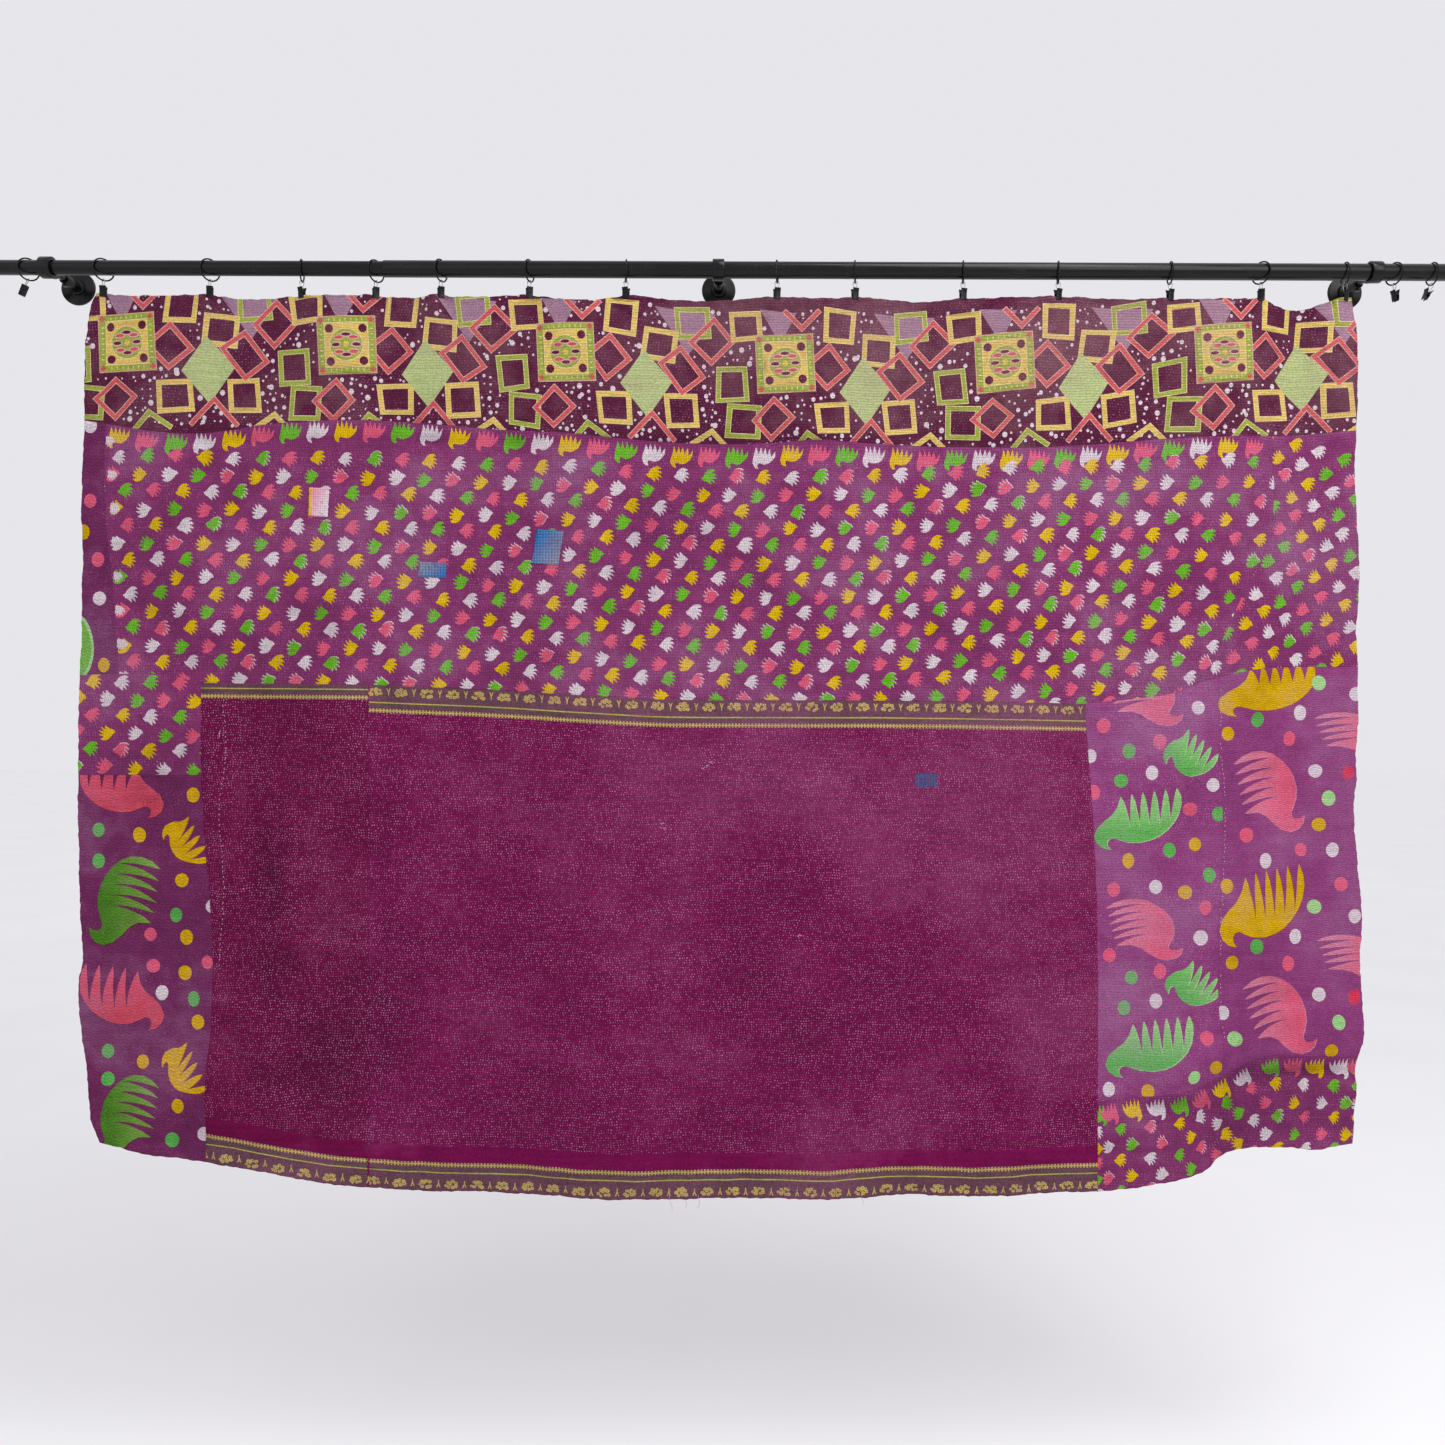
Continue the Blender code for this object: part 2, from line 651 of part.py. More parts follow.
def build_brackets():
    """A flange and a stem with collar and set screw for each bracket."""
    for bracket in BRACKETS:
        wall = Vector((bracket.x, 0, 0))
        out = Vector((bracket.x, -1, 0))
        flange_radius = FLANGE_DIAMETER / 2
        hub_top = FLANGE_THICKNESS + HUB_HEIGHT
        flange = turned("flange_" + bracket.name, [
            (0, 0), (0, flange_radius), (FLANGE_THICKNESS - 0.0015, flange_radius),
            (FLANGE_THICKNESS, flange_radius - 0.0015), (FLANGE_THICKNESS, HUB_DIAMETER / 2),
            (hub_top, HUB_DIAMETER / 2 - 0.002), (hub_top, 0),
        ], wall, out)
        add_object("flange_" + bracket.name, flange, "black_metal", 35)
        name = "stem_" + bracket.name
        bore = bracket.tube_diameter / 2 + GAP
        collar_radius = COLLAR_DIAMETER / 2
        half = COLLAR_WIDTH / 2
        collar = turned(name, [
            (-half, bore), (-half, collar_radius - COLLAR_EDGE), (COLLAR_EDGE - half, collar_radius),
            (half - COLLAR_EDGE, collar_radius), (half, collar_radius - COLLAR_EDGE), (half, bore),
            (-half, bore),
        ], (bracket.x, -RAIL_STANDOFF, 0), (bracket.x + 1, -RAIL_STANDOFF, 0))
        stem_radius = STEM_DIAMETER / 2
        rod_radius = ROD_DIAMETER / 2
        neck_radius = NECK_DIAMETER / 2
        reach = RAIL_STANDOFF - bore - NECK_SHORT_OF_BORE
        stem = turned(name + "_bar", [
            (hub_top + GAP, 0), (hub_top + GAP, stem_radius),
            (STEM_END_FROM_WALL - COLLAR_EDGE, stem_radius),
            (STEM_END_FROM_WALL, stem_radius - COLLAR_EDGE), (STEM_END_FROM_WALL, rod_radius),
            (NECK_END_FROM_WALL, rod_radius), (NECK_END_FROM_WALL, neck_radius - COLLAR_EDGE),
            (NECK_END_FROM_WALL + COLLAR_EDGE, neck_radius), (reach, neck_radius), (reach, 0),
        ], wall, out, STEM_SIDES)
        head = Vector((bracket.x, -SCREW_FROM_WALL, -rod_radius))
        screw = turned(name + "_screw", [
            (0, 0), (0, SCREW_DIAMETER / 2), (SCREW_LENGTH, SCREW_DIAMETER / 2), (SCREW_LENGTH, 0),
        ], head, head - Vector((0, 0, 1)), SCREW_SIDES)
        add_object(name, united(name, collar, stem, screw), "black_metal", 35)


# Rings and clips


def tube_radius_at(x):
    """The rail's radius at this place."""
    return (TUBE_OUTER_DIAMETER if x > TUBE_STEP_X else TUBE_INNER_DIAMETER) / 2


def ring_centre_height(x, turn):
    """Height of a ring's centre as it hangs on the rail, turned by this many degrees."""
    clear = tube_radius_at(x) + RING_WIRE + GAP
    narrow = RING_RADIUS * math.cos(math.radians(turn))
    spread = RING_RADIUS ** 2 - narrow ** 2
    if clear > narrow:
        raise ValueError(f"the ring at {x:.3f} m is turned too far to go round the rail")
    pinched = math.sqrt((narrow ** 2 - clear ** 2) * spread) / narrow
    return -pinched if pinched < spread / RING_RADIUS else clear - RING_RADIUS


def eye_route(turn):
    """The wire eye's middle line, in the clip's own frame: up from the web and round.

    The eye swivels in the web, and turn is how far it is turned, in degrees.
    """
    centre = EYE_HEIGHT - EYE_HALF_WIDTH
    route = [Vector((EYE_FOOT_HALF_WIDTH, 0, -EYE_FOOT_DEPTH))]
    for step in range(EYE_ARC_STEPS + 1):
        angle = math.pi * step / EYE_ARC_STEPS
        route.append(Vector((EYE_HALF_WIDTH * math.cos(angle), 0,
                             centre + EYE_HALF_WIDTH * math.sin(angle))))
    route.append(Vector((-EYE_FOOT_HALF_WIDTH, 0, -EYE_FOOT_DEPTH)))
    swivel = Matrix.Rotation(math.radians(turn), 3, "Z")
    return [swivel @ point for point in route]


def clip_profile():
    """Half of the clip seen from its side: (y, z) from the jaw's tip up and round."""
    tip = THICKNESS / 2 + GAP
    return [
        (tip + CLIP_PLATE, -CLIP_LENGTH),
        (CLIP_TOP_HALF, 0.0),
        (CLIP_TOP_HALF - CLIP_PLATE, 0.0),
        (0.0029, -CLIP_WEB_TOP),
        (0.0026, -CLIP_WEB_FOOT),
        (tip, -CLIP_LENGTH),
    ]


def clip_mesh(name, eye_turn):
    """A clip with two jaws, the web that hinges them, and its wire eye, turned in the web."""
    half = clip_profile()
    left = [(-y, z) for y, z in half]
    loop = half[:4] + left[:4][::-1] + left[:3:-1] + half[4:]
    count = len(loop)
    points = [Vector((side * CLIP_WIDTH / 2, y, z)) for side in (-1, 1) for y, z in loop]
    faces = [list(range(count)), list(range(count, 2 * count))]
    for index in range(count):
        after = (index + 1) % count
        faces.append([index, after, after + count, index + count])
    body = mesh_of(name, points, faces)
    return united(name, body, closed_wire(name + "_eye", eye_route(eye_turn), EYE_WIRE, EYE_SIDES))


def build_rings_and_clips():
    """All rings on the rail with the clip that hangs from each."""
    ring_route = []
    for step in range(RING_STEPS):
        angle = 2 * math.pi * step / RING_STEPS
        ring_route.append(Vector((0, RING_RADIUS * math.sin(angle), RING_RADIUS * math.cos(angle))))
    ring = closed_wire("ring", ring_route, RING_WIRE, RING_SIDES)
    hangers = [(row.x, row.ring_turn, row.turn, 0, True) for row in CLIPS]
    hangers += [(row.x, row.ring_turn, row.turn, row.lean, False) for row in FREE_CLIPS]
    hangers.sort()
    for number, (place, ring_turn, turn, lean, holds) in enumerate(hangers, 1):
        x = place * MM
        centre = Vector((x, -RAIL_STANDOFF, ring_centre_height(x, ring_turn)))
        made = add_object(f"ring_{number:02d}", ring, "black_metal", 60)
        made.location = centre
        made.rotation_euler = (0, 0, math.radians(ring_turn))
        eye_top = centre.z - RING_RADIUS + RING_WIRE + GAP + EYE_WIRE
        hinge = Vector((x, -RAIL_STANDOFF, eye_top))
        if holds:
            grip = hem_height(x) - GRIP_DEPTH / 2
            slope = (forward(x + 0.002, grip) - forward(x - 0.002, grip)) / 0.004
            turn = -math.degrees(math.atan(slope))
            hinge.y -= forward(x, grip)
        name = f"clip_{number:02d}"
        held = add_object(name, clip_mesh(name, ring_turn - turn), "black_metal", 30)
        swing = Matrix.Rotation(math.radians(lean), 4, "Y")
        spin = Matrix.Rotation(math.radians(turn), 4, "Z")
        drop = Matrix.Translation((0, 0, -EYE_HEIGHT))
        held.matrix_world = Matrix.Translation(hinge) @ swing @ spin @ drop


def main():
    """Clear the scene and build every piece."""
    for old in list(bpy.data.objects):
        bpy.data.objects.remove(old)
    meshes = build_panels()
    build_patches(meshes["panel_leaf"])
    build_rail()
    build_brackets()
    build_rings_and_clips()


if __name__ == "__main__":
    main()
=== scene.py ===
"""Looks of a patchwork kantha quilt that hangs by ring clips from a black wall rail.

The cloth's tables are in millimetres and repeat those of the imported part, +X along
the rail, +Z up, forward away from the wall. Every piece rides on the one body.
"""

import logging
import math
from collections.abc import Callable, Iterable, Sequence
from dataclasses import dataclass, field
from enum import Enum
from math import ceil, cos, exp, pi, radians, sin, sqrt
from typing import NamedTuple

import bpy
import numpy as np
from bpy.types import Material, Mesh, NodeSocket, Object
from mathutils import Matrix, Vector
from mathutils.geometry import delaunay_2d_cdt


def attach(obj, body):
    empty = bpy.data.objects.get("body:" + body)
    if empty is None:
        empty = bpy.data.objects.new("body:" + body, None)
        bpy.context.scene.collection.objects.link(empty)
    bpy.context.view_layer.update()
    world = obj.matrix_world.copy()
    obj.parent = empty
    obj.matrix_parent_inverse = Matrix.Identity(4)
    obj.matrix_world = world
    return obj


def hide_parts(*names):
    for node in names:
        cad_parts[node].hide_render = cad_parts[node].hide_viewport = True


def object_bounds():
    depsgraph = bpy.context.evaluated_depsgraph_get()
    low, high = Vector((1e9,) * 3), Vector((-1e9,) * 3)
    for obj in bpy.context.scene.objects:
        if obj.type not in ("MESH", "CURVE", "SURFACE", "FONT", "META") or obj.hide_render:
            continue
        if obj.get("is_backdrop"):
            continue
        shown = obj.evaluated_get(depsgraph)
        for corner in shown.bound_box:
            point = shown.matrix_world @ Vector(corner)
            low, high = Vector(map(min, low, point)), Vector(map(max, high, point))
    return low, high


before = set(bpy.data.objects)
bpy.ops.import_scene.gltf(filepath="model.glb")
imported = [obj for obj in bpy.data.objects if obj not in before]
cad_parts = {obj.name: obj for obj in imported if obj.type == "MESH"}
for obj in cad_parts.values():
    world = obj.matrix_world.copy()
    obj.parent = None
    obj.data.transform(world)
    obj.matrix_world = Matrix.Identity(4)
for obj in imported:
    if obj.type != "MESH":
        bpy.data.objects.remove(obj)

LOG = logging.getLogger("kantha_quilt")
MM = 0.001
BODY = "root"
Array = np.ndarray
Triple = tuple[float, float, float]


class Tint(Enum):
    """Dyes and printed colours, as display values from 0 to 255."""

    PLUM = (123, 50, 98)
    LEFT_PLUM = (106, 40, 84)
    RIGHT_PLUM = (133, 58, 112)
    MAROON = (82, 28, 54)
    FIELD = (104, 11, 66)
    FIELD_DEEP = (97, 8, 58)
    BACKING = (120, 48, 96)
    MUSTARD = (206, 170, 0)
    PALE = (202, 190, 195)
    OCHRE = (196, 154, 0)
    DEEP_GREEN = (68, 120, 30)
    GREEN = (98, 168, 34)
    LEAF_GREEN = (84, 162, 74)
    LIME = (122, 154, 68)
    LIGHT_GREEN = (150, 196, 128)
    CORAL = (204, 84, 112)
    DEEP_CORAL = (186, 66, 84)
    MADDER = (196, 46, 74)
    OLIVE = (144, 158, 60)
    TAN = (208, 176, 92)
    BRICK = (190, 82, 84)
    CREAM = (204, 192, 130)
    PEACH = (206, 158, 142)
    SAGE = (166, 178, 120)
    MAUVE = (148, 114, 134)
    RUST = (142, 70, 42)
    BAND_GREEN = (74, 74, 56)
    BAND = (92, 60, 72)
    GOLD = (170, 148, 82)
    BLUE = (42, 102, 158)
    FADED_BLUE = (116, 122, 140)
    ROSE = (196, 122, 146)
    SPECK = (210, 142, 186)

    @property
    def linear(self) -> Triple:
        """The colour in linear light."""
        return tuple(((v / 255 + 0.055) / 1.055) ** 2.4 for v in self.value)


class Grip(NamedTuple):
    """A clip that holds the hem, and what the hem does after it."""

    x: float
    hem: float
    ring_turn: float
    turn: float
    sag: float
    sag_at: float
    swell: float


class Wave(NamedTuple):
    """A soft wave that runs down the cloth."""

    x_head: float
    x_foot: float
    half_width: float
    forward_head: float
    forward_foot: float


class Fold(NamedTuple):
    """A trough (below zero) or ridge (above zero) across the cloth."""

    x0: float
    z0: float
    x1: float
    z1: float
    half_width: float
    forward: float


class WearAndShade(NamedTuple):
    """A place where the cloth is paler (above zero) or deeper (below zero), from faded dye, painted
    light and painted shade.
    """

    x: float
    z: float
    half_width: float
    half_height: float
    amount: float


def numbers(text: str) -> list[list[float]]:
    """The numbers of a table whose rows are parted by semicolons."""
    return [[float(value) for value in row.split()] for row in text.split(";")]


def pairs(x: Array, z: Array) -> Array:
    """Flat points from their two values."""
    return np.stack([x, z], axis=1)


def units(vectors: Array) -> Array:
    """The vectors at a length of one."""
    return vectors / np.linalg.norm(vectors, axis=1, keepdims=True)


def way_along(points: Array) -> Array:
    """How far along its line each point is."""
    return np.concatenate([[0], np.cumsum(np.linalg.norm(np.diff(points, axis=0), axis=1))])


GRIPS = [Grip(*row) for row in numbers("""
    -1045.4 -43 -36 14 6 0.45 7; -864.3 -43.5 -36 16 6.5 0.40 -6; -707.9 -45.6 8 -24 1 0.50 5;
    -582.1 -45 -30 26 4 0.50 -5; -471.6 -42 -22 24 6.5 0.40 7; -321.2 -43 -17 22 12.5 0.55 10;
    -157.1 -41.6 8 -20 7 0.45 -8; 99.6 -44.7 -8 16 4.5 0.58 6; 232.2 -44.7 -8 20 6.5 0.65 -6;
    415.8 -45.4 -8 18 3 0.40 7; 577.3 -42.4 -10 24 1.5 0.60 -5; 767.7 -45.4 -4 22 3 0.45 6;
    922.4 -43.9 29 -16 17 0.43 -9; 1065.2 -41.6 -4 30 0 0.50 0
""")]
WAVES = [Wave(*row) for row in numbers("""
    -957 -960 75 7 -6; -790 -800 70 -6 8; -640 -625 60 6 4; -400 -400 90 -6 -8;
    -230 -190 95 9 9; -20 -10 110 -7 -6; 160 190 80 6 8; 320 330 80 -5 -8; 500 520 75 7 7;
    670 690 70 -6 -4; 845 840 70 7 4; 1000 985 60 -8 -5
""")]
FOLDS = [Fold(*row) for row in numbers("""
    -825 -822 -786 -993 28 -6; -786 -993 -737 -1184 26 -9; -737 -1184 -600 -1222 24 -7;
    -831 -905 -801 -1126 32 5; -836 -1299 -775 -1397 28 -7; -772 -1311 -707 -1430 36 5;
    905 -480 838 -700 30 -6; 975 -500 900 -690 44 5; 770 -1360 905 -1305 34 8;
    905 -1305 1090 -1300 34 11; 860 -1392 1090 -1352 20 -8; 832 -1400 850 -1500 38 -8;
    955 -1390 958 -1480 40 9; -1040 -1480 -950 -1400 70 14; 987 -66 962 -200 30 -10;
    1030 -90 1042 -210 26 6
""")]
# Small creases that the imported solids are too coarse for.
CREASES = [Fold(*row) for row in numbers("""
    -735 -1216 470 -1212 7 -1.1; -300 -914 300 -920 8 -0.6; -560 -720 -530 -1560 9 -0.9;
    930 -700 1085 -722 12 -1.2; 1000 -905 1086 -880 11 -1.3; -1078 -1180 -960 -1215 14 -1.6;
    -1080 -640 -1020 -655 12 -1.2; -975 -1350 -905 -1500 16 -1.8; 700 -1440 760 -1540 15 1.8;
    -250 -1500 -180 -1574 22 1.6; 300 -1490 330 -1570 24 -1.8
""")]
LINES = {
    "left_edge_band": "-1055 -43, -1064 -62, -1072 -104, -1076 -156, -1076 -260",
    "left_edge_strip": "-1076 -260, -1079 -325, -1081 -440, -1078 -487, -1080 -545, -1079 -615, "
        "-1084 -692",
    "left_edge_leaf": "-1084 -692, -1085 -768, -1085 -862",
    "left_edge_border": "-1085 -862, -1084 -1010, -1081 -1090, -1077 -1175, -1083 -1215, "
        "-1081 -1280, -1077 -1309, -1067 -1376, -1054 -1448, -1040 -1482",
    "right_edge_band": "1079 -41, 1085 -98, 1087 -225, 1085 -269",
    "right_edge_leaf": "1085 -269, 1083 -334, 1085 -388, 1090 -467, 1091 -530, 1086 -608, "
        "1089 -671",
    "right_edge_outer": "1089 -671, 1090 -763, 1086 -817, 1088 -858, 1083 -914, 1089 -992, "
        "1097 -1108, 1095 -1179, 1099 -1252, 1091 -1332",
    "right_edge_foot": "1091 -1332, 1088 -1393, 1083 -1481",
    "band_seam_left": "-1076 -260, -1040 -265",
    "band_seam_middle": "-1040 -265, -962 -278, -844 -278, -787 -266, -690 -260, -533 -260, "
        "-384 -271, -266 -279, -112 -291, 72 -294, 155 -290, 273 -294, 390 -299, 506 -302, "
        "623 -295, 700 -288, 817 -282, 942 -279",
    "band_seam_right": "942 -279, 1085 -269",
    "strip_seam": "-1040 -265, -1042 -360, -1036 -462, -1026 -564, -1016 -690",
    "leaf_seam_left": "-1084 -692, -1016 -690",
    "leaf_seam_middle": "-1016 -690, -947 -690, -877 -705",
    "field_head_left": "-877 -705, -592 -707",
    "field_head_right": "-592 -707, -539 -709, -382 -715, -226 -724, -110 -730, 73 -731, 311 -731, "
        "626 -735",
    "inner_head": "626 -735, 721 -725, 768 -718, 794 -710, 831 -695",
    "inner_head_right": "831 -695, 852 -690",
    "outer_head": "852 -690, 891 -680, 991 -671, 1089 -671",
    "right_leaf_seam": "942 -279, 946 -387, 937 -457, 889 -558, 858 -626, 831 -695",
    "inner_outer_seam": "852 -690, 850 -762, 858 -974, 853 -1067, 850 -1170, 861 -1365",
    "field_right_side": "626 -735, 638 -900, 647 -1056, 650 -1263, 650 -1413",
    "foot_left_side": "650 -1413, 651 -1565",
    "foot_head_left": "650 -1413, 694 -1406, 752 -1401, 808 -1391, 861 -1365",
    "foot_head_right": "861 -1365, 880 -1354, 909 -1338, 943 -1329, 997 -1332, 1091 -1332",
    "border_head": "-1085 -862, -876 -861",
    "field_left_side_upper": "-877 -705, -876 -861",
    "field_left_side": "-876 -861, -868 -992, -855 -1134, -855 -1230, -865 -1374, -864 -1518",
    "field_join": "-592 -707, -589 -1140, -587 -1560",
    "bottom_border": "-1040 -1482, -1009 -1491, -988 -1500, -956 -1509, -905 -1515, -864 -1518",
    "bottom_field_left": "-864 -1518, -781 -1531, -710 -1546, -638 -1556, -587 -1560",
    "bottom_field_right": "-587 -1560, -536 -1565, -281 -1573, -128 -1579, 229 -1575, 484 -1570, "
        "586 -1564, 651 -1565",
    "bottom_foot": "651 -1565, 712 -1559, 753 -1551, 809 -1537, 840 -1523, 859 -1505, 878 -1494, "
        "909 -1488, 963 -1486, 1029 -1492, 1060 -1485, 1083 -1481",
}
TOP_LEFT = (-1055, -43)
TOP_RIGHT = (1079, -41)
OUTER_EDGES = ("left_edge", "right_edge", "bottom", "top_edge")
OUTLINES: dict[str, str] = {
    "top_band": "top_edge right_edge_band -band_seam_right -band_seam_middle -band_seam_left "
                "-left_edge_band",
    "left_strip": "band_seam_left strip_seam -leaf_seam_left -left_edge_strip",
    "leaf": "band_seam_middle right_leaf_seam -inner_head -field_head_right -field_head_left "
            "-leaf_seam_middle -strip_seam",
    "right_leaf": "band_seam_right right_edge_leaf -outer_head -inner_head_right -right_leaf_seam",
    "left_leaf": "leaf_seam_left leaf_seam_middle field_left_side_upper -border_head "
                 "-left_edge_leaf",
    "left_border": "border_head field_left_side -bottom_border -left_edge_border",
    "field_left": "field_head_left field_join -bottom_field_left -field_left_side "
                  "-field_left_side_upper",
    "field_right": "field_head_right field_right_side foot_left_side -bottom_field_right "
                   "-field_join",
    "right_inner": "inner_head inner_head_right inner_outer_seam -foot_head_left "
                   "-field_right_side",
    "right_outer": "outer_head right_edge_outer -foot_head_right -inner_outer_seam",
    "foot_strip": "foot_head_left foot_head_right right_edge_foot -bottom_foot -foot_left_side",
}
# Fading, painted light and painted shade. The narrow dark bands under the top band's seam and under
# the foot strip's head are painted shadow; the deeper foot strip, lower left of the field and left
# of the leaf panel are painted shade; the paler right of the top band and of the leaf panel is
# partly faded dye and partly painted light from the right.
WEAR_AND_SHADE = [WearAndShade(*row) for row in numbers("""
    -1000 -330 60 70 0.30; -900 -480 180 60 0.20; -640 -390 140 50 0.22; -300 -350 160 40 0.35;
    -60 -420 120 60 -0.15; 200 -330 160 50 0.28; 420 -560 120 80 -0.18; 640 -360 120 70 0.25;
    900 -420 90 80 0.20; -520 -600 200 50 -0.12; 60 -640 240 40 0.12; -1040 -900 30 200 -0.10;
    -960 -930 60 40 -0.18; -900 -1010 70 60 0.15; -980 -1180 80 40 0.12; -960 -1300 80 60 -0.15;
    700 -800 70 50 0.35; 820 -760 60 60 0.30; 720 -990 60 60 0.18; 790 -1090 70 50 0.30;
    700 -1220 60 40 0.34; 770 -1340 70 40 0.30; 990 -760 80 60 0.10; 960 -960 60 70 0.22;
    1030 -1120 60 60 0.24; 960 -1200 50 60 -0.10; 1000 -1320 80 14 0.25; 980 -1356 120 10 -0.55;
    770 -1412 110 9 -0.40; 760 -1470 80 50 0.20; 0 -287 1100 9 -0.28; -900 -272 120 10 -0.25;
    -760 -1100 30 220 -0.30; -700 -1330 90 120 -0.22; -640 -850 90 120 0.10;
    -560 -1100 14 500 -0.18; -40 -880 260 120 0.34; 440 -920 220 160 0.48;
    560 -1200 80 260 0.18; 100 -1180 260 160 -0.14; -300 -1400 240 90 -0.12;
    300 -1450 260 70 0.08; -900 -1440 60 80 -0.12; 950 -1440 260 60 -0.32;
    -850 -450 260 160 -0.25; 1000 -430 280 150 0.14; -1100 -160 60 70 0.40;
    500 -130 900 90 0.34; -640 -500 60 300 0.10; -990 -820 120 60 -0.18; -760 -900 60 260 -0.12;
    -560 -980 160 380 -0.10; -640 -1300 200 160 -0.16
""")]


@dataclass
class ClothForm:
    """Where the cloth hangs: its hem between the clips, its waves and its folds."""

    standoff: float = 0.100
    thickness: float = 0.0024
    hem_ease: float = 0.060
    swell_fade: float = 0.100
    turn_width: float = 0.019
    turn_fade: float = 0.045
    drop_length: float = 1.45
    unevenness: float = 0.00045
    edge_wobble: float = 0.0008
    seed: int = 11

    @staticmethod
    def between_grips(x: Array) -> tuple[Grip, Grip, Array]:
        """The grips before and after many places, and how far each is between them, 0 to 1."""
        table = np.array(GRIPS)
        places = table[:, 0] * MM
        index = np.clip(np.searchsorted(places, x, side="right") - 1, 0, len(places) - 2)
        share = np.clip((x - places[index]) / (places[index + 1] - places[index]), 0, 1)
        return Grip(*table[index].T), Grip(*table[index + 1].T), share

    def hem_height(self, x: Array) -> Array:
        """Height of the quilt's top edge."""
        before, after, share = self.between_grips(x)
        warped = share ** (math.log(0.5) / np.log(before.sag_at))
        level = before.hem + (after.hem - before.hem) * share
        between = (level - before.sag * np.sin(pi * warped)) * MM
        corners = np.array([TOP_LEFT, GRIPS[0][:2], GRIPS[-1][:2], TOP_RIGHT]) * MM
        ends = np.interp(x, corners[:, 0], corners[:, 1])
        return np.where((x < corners[1, 0]) | (x > corners[2, 0]), ends, between)

    @staticmethod
    def along_fold(x: Array, z: Array, fold: Fold) -> Array:
        """How much of a fold's height reaches each place, 0 to 1."""
        start = np.array([fold.x0, fold.z0]) * MM
        run = np.array([fold.x1, fold.z1]) * MM - start
        aside_x, aside_z = x - start[0], z - start[1]
        share = np.clip((aside_x * run[0] + aside_z * run[1]) / (run @ run), 0, 1)
        away = np.hypot(aside_x - share * run[0], aside_z - share * run[1])
        return np.exp(-((away / (fold.half_width * MM)) ** 2))

    def uneven(self, x: Array, z: Array) -> Array:
        """Gentle unevenness of the layered cloth."""
        chance = np.random.default_rng(self.seed)
        total = np.zeros_like(x)
        for length in (0.19, 0.13, 0.10, 0.076, 0.060, 0.050, 0.042):
            for _ in range(2):
                angle, phase = chance.uniform(0, 2 * pi, 2)
                across = x * cos(angle) + z * sin(angle)
                total += length ** 0.7 * np.sin(2 * pi * across / length + phase)
        return total * self.unevenness / 0.1 ** 0.7

    def forward(self, x: Array, z: Array) -> Array:
        """How far the middle of the cloth stands forward of the rail's centreline."""
        below = np.maximum(0, self.hem_height(x) - z)
        drop = np.minimum(1, below / self.drop_length)
        waves = np.zeros_like(x)
        for wave in WAVES:
            middle = (wave.x_head + (wave.x_foot - wave.x_head) * drop) * MM
            height = (wave.forward_head + (wave.forward_foot - wave.forward_head) * drop) * MM
            waves += height * np.exp(-(((x - middle) / (wave.half_width * MM)) ** 2))
        total = waves * (1 - np.exp(-below / self.hem_ease))
        before, _, share = self.between_grips(x)
        swell = before.swell * MM * np.sin(pi * share) ** 2
        total += swell * np.exp(-below / self.swell_fade)
        for grip in GRIPS:
            aside = x - grip.x * MM
            reach = np.exp(-(aside / self.turn_width) ** 4) * np.exp(-(below / self.turn_fade) ** 2)
            total -= math.tan(radians(grip.turn)) * aside * reach
        for fold in FOLDS + CREASES:
            total += fold.forward * MM * self.along_fold(x, z, fold)
        return total + self.uneven(x, z) * (1 - np.exp(-below / self.turn_fade))

    def points(self, x: Array, z: Array) -> Array:
        """Points on the middle surface of the cloth."""
        return np.stack([x, -self.standoff - self.forward(x, z), z], axis=1)

    def normals(self, x: Array, z: Array) -> Array:
        """Directions square to the cloth, towards the viewer."""
        step = 0.002
        across = self.points(x + step, z) - self.points(x - step, z)
        upward = self.points(x, z + step) - self.points(x, z - step)
        return units(np.cross(across, upward))

    def on_front(self, x: Sequence[float], z: Sequence[float],
                 lift: float | Array) -> list[Vector]:
        """Points that lie lift above the cloth's front face."""
        xs, zs = np.asarray(x, float), np.asarray(z, float)
        above = self.thickness / 2 + np.broadcast_to(lift, xs.shape)
        placed = self.points(xs, zs) + self.normals(xs, zs) * above[:, None]
        return [Vector(point) for point in placed]

    def top_edge(self, pitch: float) -> Array:
        """The hem from corner to corner as flat points."""
        count = round((TOP_RIGHT[0] - TOP_LEFT[0]) * MM / pitch)
        x = np.linspace(TOP_LEFT[0] * MM, TOP_RIGHT[0] * MM, count + 1)
        return pairs(x, self.hem_height(x))

    def line(self, name: str, pitch: float) -> Array:
        """A named edge or seam as a smooth line of flat points.

        Args:
            name: The line's name, with a minus sign to run it backwards.
            pitch: The distance between its points in metres.

        Returns:
            The points, one row each, as x and z.
        """
        if name.startswith("-"):
            return self.line(name[1:], pitch)[::-1]
        if name == "top_edge":
            points = self.top_edge(pitch)
        else:
            corners = np.array(numbers(LINES[name].replace(",", ";")))
            points = smoothed(corners * MM, pitch)
        if name.startswith(OUTER_EDGES):
            points = self.wobbled(points, len(name))
        return points

    def wobbled(self, points: Array, seed: int) -> Array:
        """The line with the small bumps of a hand-sewn edge, its ends kept."""
        chance = np.random.default_rng(seed)
        run = units(np.gradient(points, axis=0))
        along = way_along(points)
        bump = np.zeros(len(points))
        for length in (0.061, 0.034, 0.022, 0.016):
            phase = 2 * pi * along / length + chance.uniform(0, 6.3)
            bump += np.sin(phase) * chance.uniform(0.4, 1)
        ease = np.minimum(1, np.minimum(along, along[-1] - along) / 0.02)
        square = pairs(run[:, 1], -run[:, 0])
        return points + square * (bump * ease * self.edge_wobble / 1.6)[:, None]

    def wear_and_shade(self, x: Array, z: Array) -> Array:
        """How much paler or deeper the cloth is at each place, from faded dye, painted light and
        painted shade.
        """
        total = np.zeros_like(x)
        for place in WEAR_AND_SHADE:
            away = ((x / MM - place.x) / place.half_width) ** 2
            away += ((z / MM - place.z) / place.half_height) ** 2
            total += place.amount * np.exp(-away)
        return np.clip(total, -0.7, 0.7)


